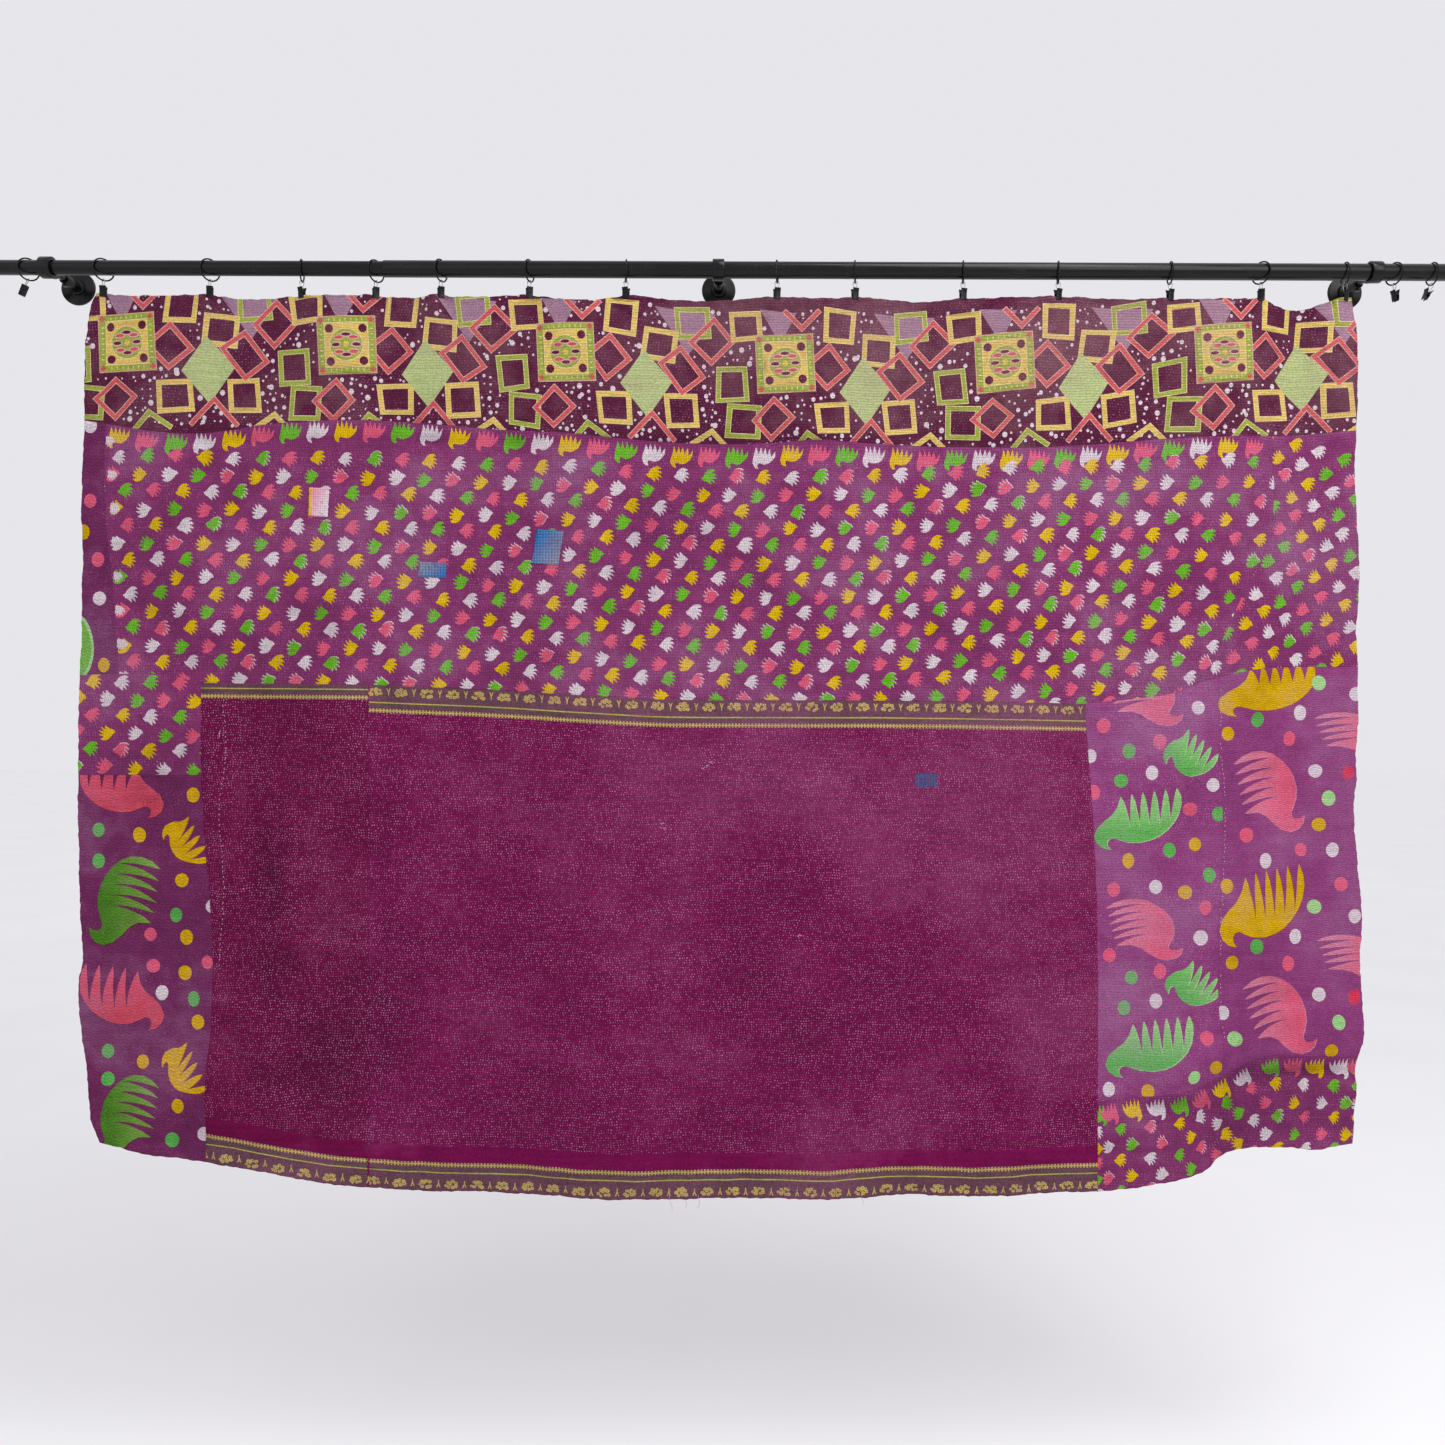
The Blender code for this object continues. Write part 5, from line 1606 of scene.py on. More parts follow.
@dataclass
class Patches:
    """Small pieces of other cotton sewn over worn places."""

    form: ClothForm
    thickness: float = 0.0010
    lift: float = 0.0004
    pitch: float = 0.0022
    fraying: float = 0.35
    seed: int = 17

    def build(self) -> list[Object]:
        """Make every patch."""
        materials = {"patch_blue": PatchFinish("mending_blue").build(),
                     "patch_pale": PatchFinish("mending_pale", 0.0040, 1.30, 0.84).build()}
        made = []
        for plan in PATCHES:
            piece = self.patch(plan)
            slot = plan.name.removesuffix("_small")
            piece.data.materials.append(materials[slot])
            finished(piece, slot, plan.name)
            plan.width * MM
            plan.height * MM
            made.append(piece)
        return made

    def patch(self, plan: PatchPlan) -> Object:
        """One patch as a thin closed sheet that lies on the quilt."""
        chance = np.random.default_rng(self.seed + len(plan.name))
        wide = round(plan.width * MM / self.pitch) + 1
        tall = round(plan.height * MM / self.pitch) + 1
        u, v = np.meshgrid(np.linspace(-0.5, 0.5, wide), np.linspace(-0.5, 0.5, tall))
        wobble = chance.normal(0, self.fraying, (2, *u.shape)) * ((abs(u) > 0.49) | (abs(v) > 0.49))
        x = (plan.x + plan.width * u + plan.lean * v + wobble[0]) * MM
        z = (plan.z + plan.height * v + plan.tilt * u + wobble[1]) * MM
        middle = self.form.points(x.ravel(), z.ravel())
        normal = self.form.normals(x.ravel(), z.ravel())
        rim = np.minimum(0.5 - abs(u), 0.5 - abs(v)).ravel()
        full = np.clip(0.35 + rim * 9, 0, 1) * self.thickness
        base = self.form.thickness / 2 + self.lift
        low = middle + normal * base
        high = middle + normal * (base + full)[:, None]
        count = len(low)
        faces = [[c, c + 1, c + 1 + wide, c + wide] for c in range(count - wide)
                 if (c + 1) % wide]
        made = from_mesh("mending_" + plan.name, [*high, *low], closed(faces, count))
        near, far = np.array(plan.near.linear), np.array(plan.far.linear)
        share = 0.5 + 0.9 * u.ravel() - 0.5 * v.ravel() + chance.normal(0, 0.05, count)
        share = np.clip(share, 0, 1)
        tone = near + (far - near) * share[:, None]
        if plan.name == "patch_pale":
            tone[u.ravel() < -0.32] = Tint.MUSTARD.linear
        tone = np.tile(np.concatenate([tone, np.ones((count, 1))], axis=1), (2, 1))
        printed = made.data.color_attributes.new("print", "FLOAT_COLOR", "POINT")
        printed.data.foreach_set("color", tone.astype(np.float32).ravel())
        return made


@dataclass
class Needlework:
    """Threads that lie on the cloth: edge stitches, a dotted line, a darn and loose ends."""

    form: ClothForm
    radius: float = 0.00038
    sides: int = 5
    darn_x: float = 0.357
    darn_z: float = -0.867
    seed: int = 31

    def build(self) -> dict[str, list[Object]]:
        """Make the thread pieces, listed by the panel that they lie on."""
        pale = ThreadFinish("thread_pale", Tint.PALE).build()
        blue = ThreadFinish("thread_blue", Tint.BLUE).build()
        plum = ThreadFinish("thread_plum", Tint.SPECK).build()
        return {
            "leaf": [self.piece("stitches_patches", self.patch_edges(), pale, "plum_print")],
            "field_left": [self.piece("stitches_dotted", self.dotted(), pale, "plum_field")],
            "right_outer": [self.piece("stitches_seam", self.seam(), pale, "plum_print")],
            "field_right": [self.piece("darn_blue", self.darn(), blue, "plum_field"),
                            self.piece("threads_loose", self.loose_ends(), plum, "plum_field")],
        }

    def piece(self, name: str, strands: Iterable[list[Vector]], material: Material,
              slot: str) -> Object:
        """One object from many strands of thread."""
        points: list[Vector] = []
        faces: list[list[int]] = []
        for strand in strands:
            self.tube(strand, points, faces)
        made = from_mesh(name, points, faces)
        made.data.materials.append(material)
        finished(made, slot)
        return made

    def tube(self, strand: list[Vector], points: list[Vector], faces: list[list[int]]) -> None:
        """Add a closed tube with tapered ends along a strand."""
        start = len(points)
        count = len(strand)
        for index, middle in enumerate(strand):
            run = strand[min(index + 1, count - 1)] - strand[max(index - 1, 0)]
            run.normalize()
            side = run.cross(Vector((0, 1, 0)))
            if side.length < 0.1:
                side = run.cross(Vector((1, 0, 0)))
            side.normalize()
            other = side.cross(run)
            thick = self.radius * (0.55 if index in (0, count - 1) else 1.0)
            for step in range(self.sides):
                angle = 2 * pi * step / self.sides
                points.append(middle + (side * cos(angle) + other * sin(angle)) * thick)
        for index in range(count - 1):
            for step in range(self.sides):
                after = (step + 1) % self.sides
                low, high = start + index * self.sides, start + (index + 1) * self.sides
                faces.append([low + after, low + step, high + step, high + after])
        last = start + (count - 1) * self.sides
        faces.append(range(start, start + self.sides))
        faces.append(range(last + self.sides - 1, last - 1, -1))

    def stitch(self, x: float, z: float, run_x: float, run_z: float, lift: float) -> list[Vector]:
        """One stitch that dips into the cloth at both ends."""
        shares = np.array([-0.5, -0.3, 0.0, 0.3, 0.5])
        heights = np.array([-0.0006, 0.0001, 0.0003, 0.0001, -0.0006])
        return self.form.on_front(x + run_x * shares, z + run_z * shares, heights + lift)

    def patch_edges(self) -> list[list[Vector]]:
        """Stitches along the edges of the patches."""
        chance = np.random.default_rng(self.seed)
        strands = []
        for plan in PATCHES[2:]:
            half_x, half_z = (plan.width / 2 - 2.2) * MM, (plan.height / 2 - 2.2) * MM
            corners = [Vector((plan.x * MM + sx * half_x, plan.z * MM + sz * half_z))
                       for sx, sz in ((-1, -1), (1, -1), (1, 1), (-1, 1))]
            for first, second in zip(corners, corners[1:] + corners[:1]):
                count = round((second - first).length / 0.0062)
                for number in range(count):
                    place = first.lerp(second, (number + 0.5) / count)
                    run = (second - first).normalized() * chance.uniform(0.0028, 0.0038)
                    strands.append(self.stitch(place.x, place.y, run.x, run.y, 0.0012))
        return strands

    def dotted(self) -> list[list[Vector]]:
        """A line of larger stitches down the left side of the field."""
        chance = np.random.default_rng(self.seed + 1)
        strands = []
        for number in range(52):
            z = -0.735 - number * 0.0088 + chance.normal(0, 0.0008)
            x = -0.8385 + 0.004 * sin(number * 0.21) + chance.normal(0, 0.0006)
            length = chance.uniform(0.0024, 0.0046)
            strands.append(self.stitch(x, z, chance.normal(0, 0.0008), length, 0.0))
        strands.append(self.stitch(-0.845, -0.792, 0.0012, 0.014, 0.0002))
        return strands

    def seam(self) -> list[list[Vector]]:
        """Small stitches beside the seam between the two right panels."""
        chance = np.random.default_rng(self.seed + 4)
        line = self.form.line("inner_outer_seam", 0.0075)
        strands = []
        for place in line[(line[:, 1] < -0.70) & (line[:, 1] > -1.30)]:
            x, z = place + chance.normal(0, 0.0007, 2) + (0.004, 0)
            if chance.uniform() < 0.75:
                strands.append(self.stitch(x, z, chance.normal(0, 0.001), 0.0032, 0.0))
        return strands

    def darn(self) -> list[list[Vector]]:
        """A darned place, its threads passing over and under each other."""
        chance = np.random.default_rng(self.seed + 2)
        strands = []
        for number in range(15):
            x = self.darn_x + (number - 7) * 0.0026 + chance.normal(0, 0.0003)
            half = 0.0125 + chance.uniform(-0.003, 0.003)
            z = np.linspace(self.darn_z - half, self.darn_z + half, 9)
            lift = 0.0003 + 0.0003 * (-1.0) ** (np.arange(9) + number)
            strands.append(self.form.on_front(x + 0.0004 * np.sin(np.arange(9)), z, lift))
        for number in range(9):
            z = self.darn_z + (number - 4) * 0.0027 + chance.normal(0, 0.0003)
            half = 0.019 + chance.uniform(-0.004, 0.003)
            x = np.linspace(self.darn_x - half, self.darn_x + half, 15)
            lift = 0.0003 - 0.0003 * (-1.0) ** (np.arange(15) + number)
            strands.append(self.form.on_front(x, z + 0.0003 * np.cos(np.arange(15)), lift))
        return strands

    def loose_ends(self) -> list[list[Vector]]:
        """A few ends of thread that hang from the hem, and some light pulls on the field."""
        chance = np.random.default_rng(self.seed + 3)
        strands = []
        for x, top, length in ((-0.077, -1.560, 0.038), (-0.052, -1.566, 0.030),
                               (-0.029, -1.572, 0.024), (0.248, -1.566, 0.019)):
            strand = []
            for step in range(10):
                share = step / 9
                place = self.form.on_front([x], [top], 0.0006)[0]
                place.z -= length * share
                place.x += 0.004 * sin(share * 5 + x * 40) * share
                place.y -= 0.0015 * share * sin(share * 6)
                strand.append(place)
            strands.append(strand)
        for x, z in ((-0.017, -0.841), (-0.024, -0.846), (-0.010, -0.838), (-0.086, -0.950),
                     (-0.092, -0.946), (0.371, -0.806), (-0.300, -1.020), (0.140, -1.130)):
            for _ in range(3):
                dx, dz = chance.normal(0, 0.003, 2)
                strands.append(self.stitch(x + dx, z + dz, chance.uniform(0.003, 0.007),
                                           chance.normal(0, 0.002), 0.0002))
        return strands


# Rail, brackets, rings and clips


class Bench:
    """Modelling steps on the active object, as by hand."""

    @staticmethod
    def focus(*pieces: Object) -> None:
        """Select these objects alone, the first of them active."""
        bpy.ops.object.select_all(action="DESELECT")
        for piece in pieces:
            piece.select_set(True)
        if pieces:
            bpy.context.view_layer.objects.active = pieces[0]

    @staticmethod
    def primitive(add: Callable[..., set[str]], **settings: object) -> Object:
        """A primitive to start from, its place in its mesh."""
        Bench.focus()
        add(**settings)
        bpy.ops.object.transform_apply(location=True, rotation=True, scale=True)
        return bpy.context.object

    @staticmethod
    def drawn(route: Sequence[Triple]) -> Object:
        """A line drawn by extruding a point along a route, left in edit mode."""
        made = Bench.primitive(bpy.ops.mesh.primitive_plane_add, size=0.001)
        bpy.ops.object.mode_set(mode="EDIT")
        bpy.ops.mesh.select_mode(type="VERT")
        bpy.ops.mesh.select_all(action="SELECT")
        bpy.ops.mesh.merge(type="CENTER")
        bpy.ops.transform.translate(value=route[0])
        for first, second in zip(route, route[1:]):
            step = Vector(second) - Vector(first)
            bpy.ops.mesh.extrude_region_move(TRANSFORM_OT_translate={"value": step})
        return made

    @staticmethod
    def spun(profile: Sequence[tuple[float, float]], start: Vector, axis: Vector,
             steps: int = 64) -> Object:
        """A turned piece: a profile drawn by extruding a point, then spun.

        Args:
            profile: Its points as (along the axis, radius) in metres.
            start: Where the axis begins.
            axis: The direction of the axis.
            steps: How many steps the spin has.

        Returns:
            The object, its place in its mesh.
        """
        made = Bench.drawn([(radius, 0, along) for along, radius in profile])
        bpy.ops.mesh.select_all(action="SELECT")
        bpy.ops.mesh.spin(steps=steps, angle=2 * pi, center=(0, 0, 0), axis=(0, 0, 1),
                          use_auto_merge=True)
        bpy.ops.mesh.select_all(action="SELECT")
        bpy.ops.mesh.remove_doubles(threshold=1e-6)
        bpy.ops.mesh.normals_make_consistent(inside=False)
        bpy.ops.object.mode_set(mode="OBJECT")
        turn = axis.to_track_quat("Z", "Y").to_matrix().to_4x4()
        made.matrix_world = Matrix.Translation(start) @ turn
        return Bench.settled(made)

    @staticmethod
    def pick(made: Object, kind: str, chosen: Iterable[int]) -> None:
        """Enter edit mode with only these vertices or faces selected."""
        Bench.focus(made)
        bpy.ops.object.mode_set(mode="EDIT")
        bpy.ops.mesh.select_mode(type=kind)
        bpy.ops.mesh.select_all(action="DESELECT")
        bpy.ops.object.mode_set(mode="OBJECT")
        parts = made.data.vertices if kind == "VERT" else made.data.polygons
        for index in chosen:
            parts[index].select = True
        bpy.ops.object.mode_set(mode="EDIT")

    @staticmethod
    def settled(made: Object, smooth: float = 40.0) -> Object:
        """The object with its place in its mesh, smooth up to an angle."""
        Bench.focus(made)
        bpy.ops.object.transform_apply(location=True, rotation=True, scale=True)
        bpy.ops.object.shade_smooth_by_angle(angle=radians(smooth))
        return made

    @staticmethod
    def modify(made: Object, kind: str, **settings: object) -> None:
        """Add a modifier with these settings and apply it."""
        Bench.focus(made)
        modifier = made.modifiers.new(kind.title(), kind)
        for key, value in settings.items():
            setattr(modifier, key, value)
        bpy.ops.object.modifier_apply(modifier=modifier.name)

    @staticmethod
    def rounded(made: Object, width: float, degrees: float = 50) -> None:
        """Round the edges that are sharper than an angle."""
        Bench.modify(made, "BEVEL", width=width, segments=2, limit_method="ANGLE",
                     angle_limit=radians(degrees))

    @staticmethod
    def joined(*pieces: Object) -> Object:
        """One object from several."""
        Bench.focus(*pieces)
        bpy.ops.object.join()
        return pieces[0]

    @staticmethod
    def copied(source: Object, name: str, matrix: Matrix) -> Object:
        """A copy with its own mesh, moved within it."""
        mesh = source.data.copy()
        mesh.name = name
        mesh.transform(matrix)
        return in_scene(name, mesh)

    @staticmethod
    def dressed(made: Object, material: Material, node: str) -> None:
        """Give a hard piece its material, and the name of the node that it stands for."""
        made.data.materials.clear()
        made.data.materials.append(material)
        made.name = made.data.name = "dressed_" + node
        finished(made, "black_metal", node)


@dataclass
class Rail:
    """The two tubes, one inside the other, and their end caps."""

    standoff: float = 0.100
    end: float = 1.350
    wide: float = 0.028
    narrow: float = 0.025
    wall: float = 0.0010
    step_x: float = -0.568
    lap: float = 0.120
    rolled_edge: float = 0.0006
    cap_length: float = 0.004
    plug: float = 0.012
    play: float = 0.0003

    def radius_at(self, x: float) -> float:
        """The rail's radius at this place."""
        return (self.wide if x > self.step_x else self.narrow) / 2

    def build(self, material: Material) -> None:
        """Make the tubes and caps."""
        ends = (("rail_tube_outer", self.wide / 2, self.step_x, self.end),
                ("rail_tube_inner", self.narrow / 2, -self.end, self.step_x + self.lap))
        for name, radius, left, right in ends:
            middle = ((left + right) / 2, -self.standoff, 0)
            tube = Bench.primitive(bpy.ops.mesh.primitive_cylinder_add, vertices=72,
                                   radius=radius, depth=right - left, end_fill_type="NOTHING",
                                   location=middle, rotation=(0, pi / 2, 0))
            Bench.modify(tube, "SOLIDIFY", thickness=self.wall, offset=-1.0)
            Bench.rounded(tube, self.rolled_edge / 2, 60)
            Bench.dressed(Bench.settled(tube), material, name)
        for name, radius, side in (("rail_cap_left", self.narrow / 2, -1),
                                   ("rail_cap_right", self.wide / 2, 1)):
            bore = radius - self.wall - self.play
            rim = radius + 0.001
            face = self.cap_length
            profile = [(-self.plug, 0), (-self.plug, bore), (self.play, bore),
                       (self.play, rim - 0.0003), (self.play + 0.0003, rim), (face - 0.0014, rim),
                       (face - 0.0006, rim - 0.0004), (face - 0.0001, rim - 0.0013),
                       (face, rim - 0.0026), (face, 0)]
            cap = Bench.spun(profile, Vector((side * self.end, -self.standoff, 0)),
                             Vector((side, 0, 0)))
            Bench.dressed(cap, material, name)


@dataclass
class Brackets:
    """A flange on the wall, a stem with a set screw, and a collar round the rail."""

    rail: Rail
    flange_radius: float = 0.030
    flange_thickness: float = 0.005
    hub_radius: float = 0.014
    hub_height: float = 0.007
    stem_radius: float = 0.0085
    stem_end: float = 0.050
    rod_radius: float = 0.005
    neck_radius: float = 0.011
    neck_start: float = 0.075
    collar_radius: float = 0.018
    collar_half: float = 0.010
    screw_radius: float = 0.0045
    screw_length: float = 0.0075
    screw_from_wall: float = 0.044
    edge: float = 0.0010

    def build(self, material: Material) -> None:
        """Make the three brackets."""
        for name, x in (("left", -1.1400), ("middle", 0.0), ("right", 1.1147)):
            wall, out = Vector((x, 0, 0)), Vector((0, -1, 0))
            flange = Bench.spun(self.flange_profile(), wall, out, 72)
            Bench.dressed(flange, material, "flange_" + name)
            bore = self.rail.radius_at(x) + self.rail.play
            collar = Bench.spun(self.collar_profile(bore), Vector((x, -self.rail.standoff, 0)),
                                Vector((1, 0, 0)), 72)
            stem = Bench.joined(collar, Bench.spun(self.stem_profile(bore), wall, out, 48),
                                self.set_screw(x))
            Bench.dressed(stem, material, "stem_" + name)

    def flange_profile(self) -> list[tuple[float, float]]:
        """The flange's disc with a soft rim, and its hub."""
        top, rim, hub = self.flange_thickness, self.flange_radius, self.hub_radius
        hub_top = top + self.hub_height
        return [(0, 0), (0, rim), (top - 0.0024, rim), (top - 0.0012, rim - 0.0003),
                (top - 0.0004, rim - 0.0010), (top, rim - 0.0022), (top, hub + 0.0014),
                (top + 0.0004, hub + 0.0004), (top + 0.0014, hub), (hub_top - 0.0014, hub - 0.0010),
                (hub_top - 0.0004, hub - 0.0016), (hub_top, hub - 0.0028), (hub_top, 0)]

    def collar_profile(self, bore: float) -> list[tuple[float, float]]:
        """The collar as a closed ring with rounded corners."""
        half, rim, edge = self.collar_half, self.collar_radius, self.edge
        return [(-half, bore + 0.0003), (-half, rim - edge), (-half + edge * 0.3, rim - edge * 0.3),
                (-half + edge, rim), (half - edge, rim), (half - edge * 0.3, rim - edge * 0.3),
                (half, rim - edge), (half, bore + 0.0003), (half - 0.0003, bore),
                (-half + 0.0003, bore), (-half, bore + 0.0003)]

    def stem_profile(self, bore: float) -> list[tuple[float, float]]:
        """The stem, the thin rod that it holds, and the neck under the collar."""
        start = self.flange_thickness + self.hub_height + self.rail.play
        reach = self.rail.standoff - bore - 0.0015
        edge, end, wide = self.edge, self.stem_end, self.stem_radius
        neck, thick = self.neck_start, self.neck_radius
        return [(start, 0), (start, wide), (end - edge, wide),
                (end - edge * 0.3, wide - edge * 0.3), (end, wide - edge), (end, self.rod_radius),
                (neck, self.rod_radius), (neck, thick - edge),
                (neck + edge * 0.3, thick - edge * 0.3), (neck + edge, thick), (reach, thick),
                (reach, 0)]

    def set_screw(self, x: float) -> Object:
        """The knurled screw under the stem, with a slot across its head."""
        low = -self.rod_radius - self.screw_length
        made = Bench.primitive(bpy.ops.mesh.primitive_cylinder_add, vertices=28,
                               radius=self.screw_radius, depth=self.screw_length,
                               location=(x, -self.screw_from_wall, low + self.screw_length / 2))
        chosen = [face.index for face in made.data.polygons
                  if face.normal.z < -0.9 or (abs(face.normal.z) < 0.1 and face.index % 2 == 0)]
        Bench.pick(made, "FACE", chosen)
        bpy.ops.mesh.inset(thickness=0.0002, depth=-0.0002, use_individual=True)
        bpy.ops.object.mode_set(mode="OBJECT")
        Bench.rounded(made, 0.0002)
        return Bench.settled(made, 30)


class Hanger(NamedTuple):
    """A ring on the rail and how its clip hangs."""

    x: float
    ring_turn: float
    turn: float
    lean: float
    holds: bool


@dataclass
class RingsAndClips:
    """Wire rings on the rail, each with a link and a sprung clip."""

    rail: Rail
    form: ClothForm
    ring_radius: float = 0.0182
    ring_wire: float = 0.0013
    eye_wire: float = 0.0006
    eye_half: float = 0.0036
    eye_height: float = 0.0120
    eye_foot: float = 0.0078
    clip_width: float = 0.011
    clip_length: float = 0.0187
    top_half: float = 0.0055
    plate: float = 0.0014
    web_top: float = 0.0060
    web_foot: float = 0.0095
    grip_depth: float = 0.011
    free: tuple[tuple[float, float, float, float], ...] = (
        (-1172.9, -36, 28, 22), (1148.5, 18, -78, -5), (1213.1, 2, -82, 26))

    def hangers(self) -> list[Hanger]:
        """Every ring from left to right."""
        found = [Hanger(grip.x * MM, grip.ring_turn, grip.turn, 0, True) for grip in GRIPS]
        found += [Hanger(x * MM, ring, turn, lean, False) for x, ring, turn, lean in self.free]
        return sorted(found)

    def ring_height(self, x: float, turn: float) -> float:
        """Height of the ring's middle as it hangs on the rail."""
        clear = self.rail.radius_at(x) + self.ring_wire + self.rail.play
        narrow = self.ring_radius * cos(radians(turn))
        spread = self.ring_radius ** 2 - narrow ** 2
        pinched = sqrt((narrow ** 2 - clear ** 2) * spread) / narrow
        return -pinched if pinched < spread / self.ring_radius else clear - self.ring_radius

    def ring(self) -> Object:
        """The ring, square to the rail, round the origin."""
        made = Bench.primitive(bpy.ops.mesh.primitive_torus_add, major_segments=72,
                               minor_segments=14, major_radius=self.ring_radius,
                               minor_radius=self.ring_wire, rotation=(0, pi / 2, 0))
        return Bench.settled(made, 80)

    def link(self) -> Object:
        """The wire link, its round end up and its legs drawn down into the clip."""
        centre = self.eye_height - self.eye_half
        made = Bench.primitive(bpy.ops.mesh.primitive_torus_add, major_segments=32,
                               minor_segments=10, major_radius=self.eye_half,
                               minor_radius=self.eye_wire, location=(0, 0, centre),
                               rotation=(pi / 2, 0, 0))
        drop = self.eye_foot + centre - self.eye_half
        low = [vertex.index for vertex in made.data.vertices if vertex.co.z < centre - 0.0001]
        Bench.pick(made, "VERT", low)
        bpy.ops.transform.translate(value=(0, 0, -drop))
        bpy.ops.transform.resize(value=(0.42, 1, 1))
        bpy.ops.object.mode_set(mode="OBJECT")
        return Bench.settled(made, 80)

    def jaws(self) -> Object:
        """The clip: two bent plates, the roll that they turn on, and the spring in it."""
        tip = self.form.thickness / 2 + self.rail.play
        thick = self.plate * 0.62
        level = -(self.web_top + self.web_foot) / 2
        route = [(self.top_half - thick / 2, 0.0), (0.0040, -self.web_top * 0.55),
                 (0.0028, level), (0.0030, -self.clip_length * 0.62),
                 (tip + thick / 2, -self.clip_length + 0.0010),
                 (tip + thick / 2 + 0.0005, -self.clip_length)]
        made = Bench.drawn([(-self.clip_width / 2, y, z) for y, z in route])
        bpy.ops.mesh.select_all(action="SELECT")
        bpy.ops.mesh.extrude_region_move(TRANSFORM_OT_translate={"value": (self.clip_width, 0, 0)})
        bpy.ops.object.mode_set(mode="OBJECT")
        Bench.modify(made, "SOLIDIFY", thickness=thick, offset=0.0)
        Bench.rounded(made, 0.00028)
        Bench.modify(made, "MIRROR", use_axis=(False, True, False), use_mirror_merge=False)
        bpy.ops.object.mode_set(mode="EDIT")
        bpy.ops.mesh.select_all(action="SELECT")
        bpy.ops.mesh.normals_make_consistent(inside=False)
        bpy.ops.object.mode_set(mode="OBJECT")
        parts = [Bench.settled(made, 35)]
        for radius, length in ((0.0021, self.clip_width * 0.98), (0.0026, self.clip_width * 0.46)):
            roll = Bench.primitive(bpy.ops.mesh.primitive_cylinder_add, vertices=24,
                                   radius=radius, depth=length, location=(0, 0, level),
                                   rotation=(0, pi / 2, 0))
            Bench.rounded(roll, 0.0004)
            parts.append(Bench.settled(roll))
        return Bench.joined(*parts)

    def build(self, paint: Material, wire: Material) -> None:
        """Make one ring, link and clip, then hang a copy of each at every place."""
        ring, link, jaws = self.ring(), self.link(), self.jaws()
        for number, hanger in enumerate(self.hangers(), 1):
            height = self.ring_height(hanger.x, hanger.ring_turn)
            hinge = Vector((hanger.x, -self.rail.standoff, height))
            spin_ring = Matrix.Rotation(radians(hanger.ring_turn), 4, "Z")
            made = Bench.copied(ring, "ring", Matrix.Translation(hinge) @ spin_ring)
            Bench.dressed(made, paint, f"ring_{number:02d}")
            hinge.z = height - self.ring_radius + self.ring_wire + self.rail.play + self.eye_wire
            turn = hanger.turn
            if hanger.holds:
                aside = 0.002
                places = np.array([hanger.x - aside, hanger.x, hanger.x + aside])
                grip = self.form.hem_height(places[1:2])[0] - self.grip_depth / 2
                reach = self.form.forward(places, np.full(3, grip))
                turn = -math.degrees(math.atan((reach[2] - reach[0]) / (2 * aside)))
                hinge.y -= reach[1]
            place = Matrix.Translation(hinge) @ Matrix.Rotation(radians(hanger.lean), 4, "Y")
            drop = Matrix.Translation((0, 0, -self.eye_height))
            spin_clip = Matrix.Rotation(radians(turn), 4, "Z")
            clip = Bench.copied(jaws, "clip", place @ spin_clip @ drop)
            Bench.dressed(clip, paint, f"clip_{number:02d}")
            eye = Bench.copied(link, f"clip_link_{number:02d}", place @ spin_ring @ drop)
            eye.data.materials.append(wire)
            finished(eye, "black_metal")
        for made in (ring, link, jaws):
            bpy.data.objects.remove(made)


# Studio


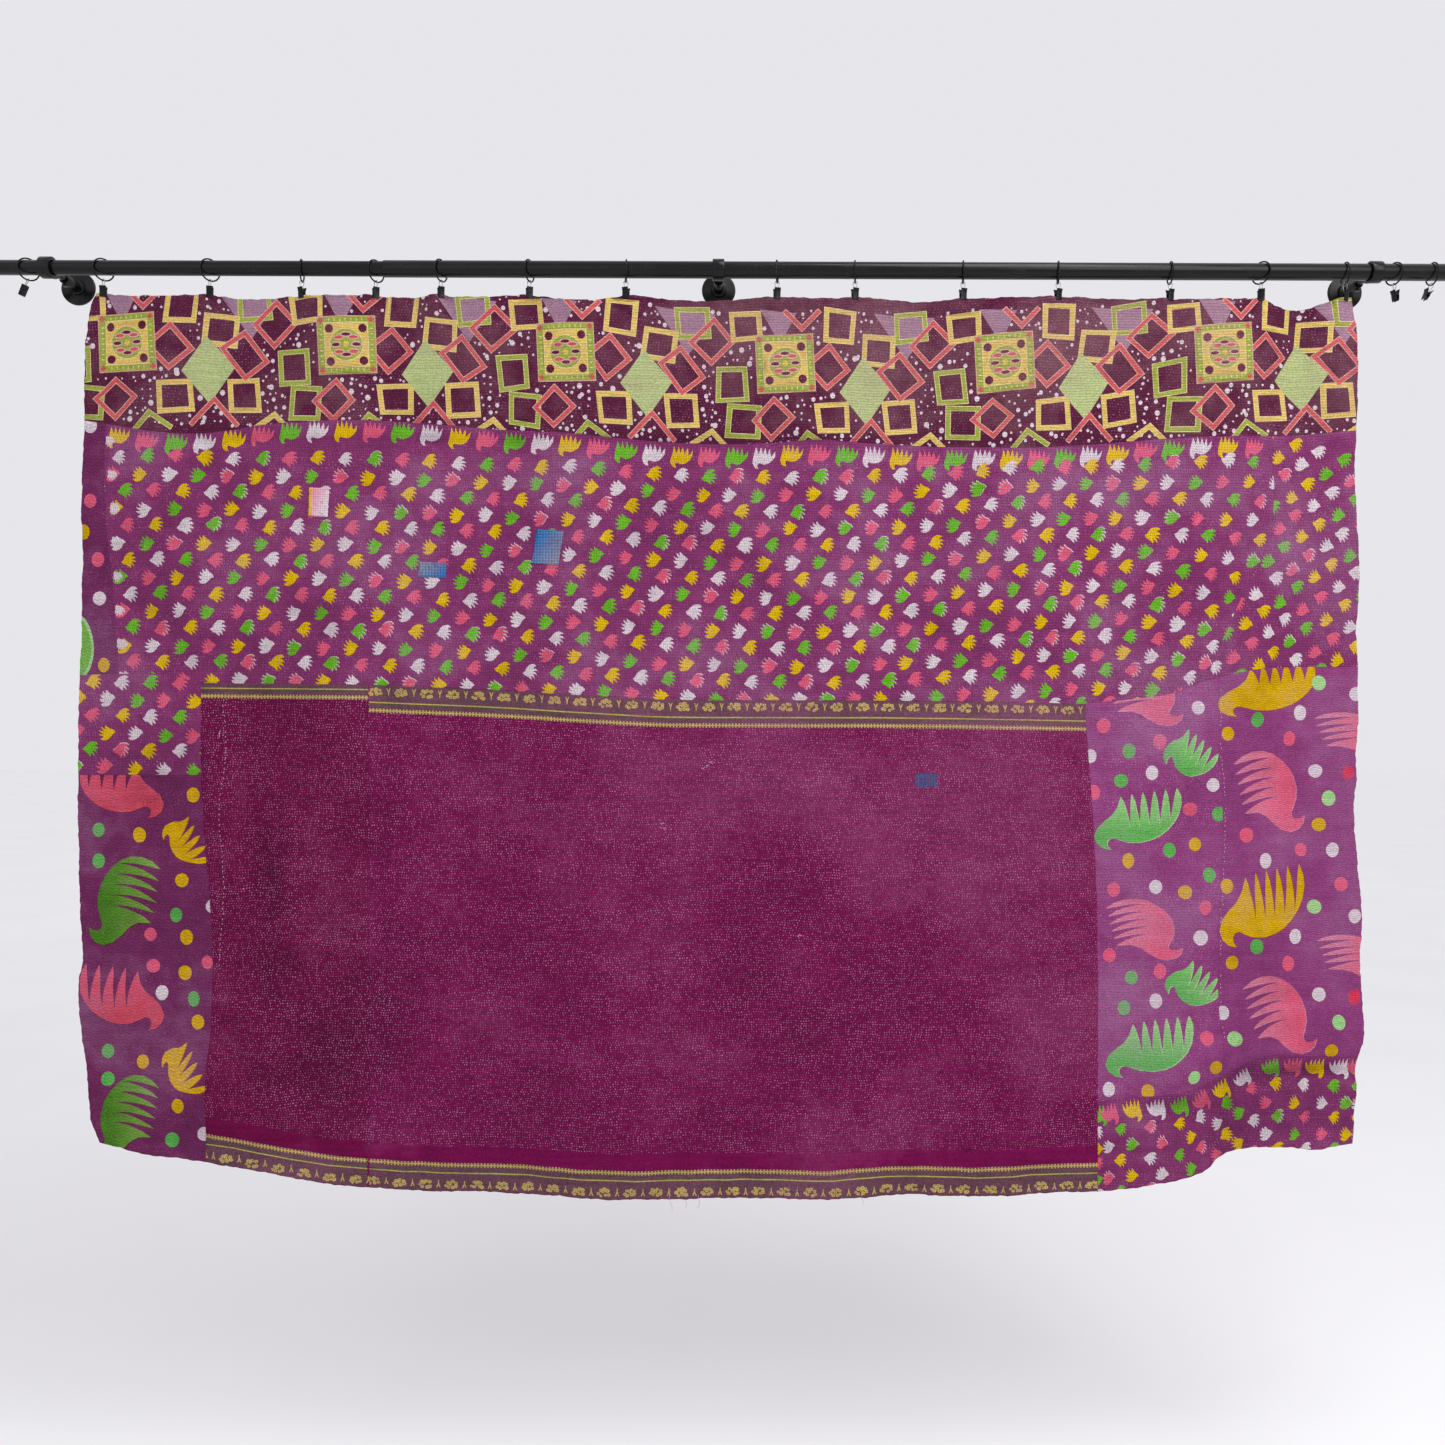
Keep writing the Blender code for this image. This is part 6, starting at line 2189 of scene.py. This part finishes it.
@dataclass
class Studio:
    """A plain pale floor, soft light and the photograph's camera."""

    floor_height: float = -2.10
    floor_size: float = 60.0
    camera_place: Triple = (0.0095, -2.150, -0.769)
    camera_roll: float = -0.198
    lens: float = 30.05
    sky: Triple = (0.80, 0.79, 0.825)

    def build(self) -> None:
        """Make the floor, world, lights and camera."""
        floor = Bench.primitive(bpy.ops.mesh.primitive_grid_add, x_subdivisions=8,
                                y_subdivisions=8, size=self.floor_size,
                                location=(0, 0, self.floor_height))
        floor.name = floor.data.name = "studio_floor"
        nodes = Nodes("pale_floor")
        away = nodes.output("Value", "ShaderNodeVectorMath", nodes.place, operation="LENGTH")
        # Painted light: the floor turns paler with distance, where the lamps no longer reach, so
        # that it meets the sky.
        tone = nodes.smooth(away, 2.5, 9.0, 0.90, 0.985)
        tone += nodes.smooth(nodes.noise(nodes.place, 1.5, 2.0), 0.3, 0.7, -0.01, 0.01)
        nodes.surface(nodes.join(tone, tone, tone), 1.0, 0.0)
        floor.data.materials.append(nodes.material)
        floor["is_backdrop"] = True
        world = bpy.data.worlds.new("studio_world")
        world.use_nodes = True
        background = world.node_tree.nodes["Background"]
        background.inputs["Color"].default_value = (*self.sky, 1.0)
        background.inputs["Strength"].default_value = 1.0
        bpy.context.scene.world = world
        self.light("key", (2.4, -2.8, 1.2), (0.2, 0.0, -0.7), 2.2, 46)
        self.light("fill", (-2.4, -3.2, 0.6), (-0.2, 0.0, -0.6), 2.6, 9)
        self.light("top", (1.0, -1.3, 2.0), (0.3, -0.1, -0.1), 1.5, 38)
        self.camera()
        bpy.context.scene.view_settings.view_transform = "Standard"

    def light(self, name: str, place: Triple, aim: Triple, size: float, watts: float) -> None:
        """A large soft light aimed at a place."""
        data = bpy.data.lights.new(name, "AREA")
        data.size = size
        data.energy = watts
        lamp = in_scene(name, data)
        lamp.location = place
        lamp.rotation_euler = (Vector(aim) - Vector(place)).to_track_quat("-Z", "Y").to_euler()

    def camera(self) -> None:
        """The camera, as the photograph was taken."""
        data = bpy.data.cameras.new("camera")
        data.lens = self.lens
        data.sensor_width = 36
        data.clip_end = 200
        camera = in_scene("camera", data)
        camera.location = self.camera_place
        camera.rotation_euler = (radians(90), radians(self.camera_roll), 0)
        bpy.context.scene.camera = camera


def corners(box: Iterable[Iterable[float]]) -> list[list[float]]:
    """A box's corners as plain numbers."""
    return [[round(float(value), 5) for value in corner] for corner in box]


def main() -> None:
    """Build everything in order, and measure the model's box before and after."""
    logging.basicConfig(level=logging.INFO, format="%(message)s")
    cad_box = corners(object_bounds())
    form = ClothForm()
    quilt = Quilt(form)
    quilt.build()
    patches = Patches(form).build()
    threads = Needlework(form).build()
    quilt.declare(patches, threads)
    paint = MetalFinish("satin_black_paint", (0.0020, 0.0020, 0.0026), (0.008, 0.0075, 0.008),
                        0.0, 0.25, 0.26).build()
    clip_paint = MetalFinish("black_clip_paint", (0.005, 0.006, 0.007), (0.030, 0.030, 0.032),
                             0.0, 0.34).build()
    wire = MetalFinish("bright_wire", (0.30, 0.29, 0.28), (0.50, 0.48, 0.45), 1.0, 0.30).build()
    rail = Rail()
    rail.build(paint)
    Brackets(rail).build(paint)
    RingsAndClips(rail, form).build(clip_paint, wire)
    Studio().build()
    {"cad_box": cad_box, "visual_box": corners(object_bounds())}


if __name__ == "__main__":
    main()
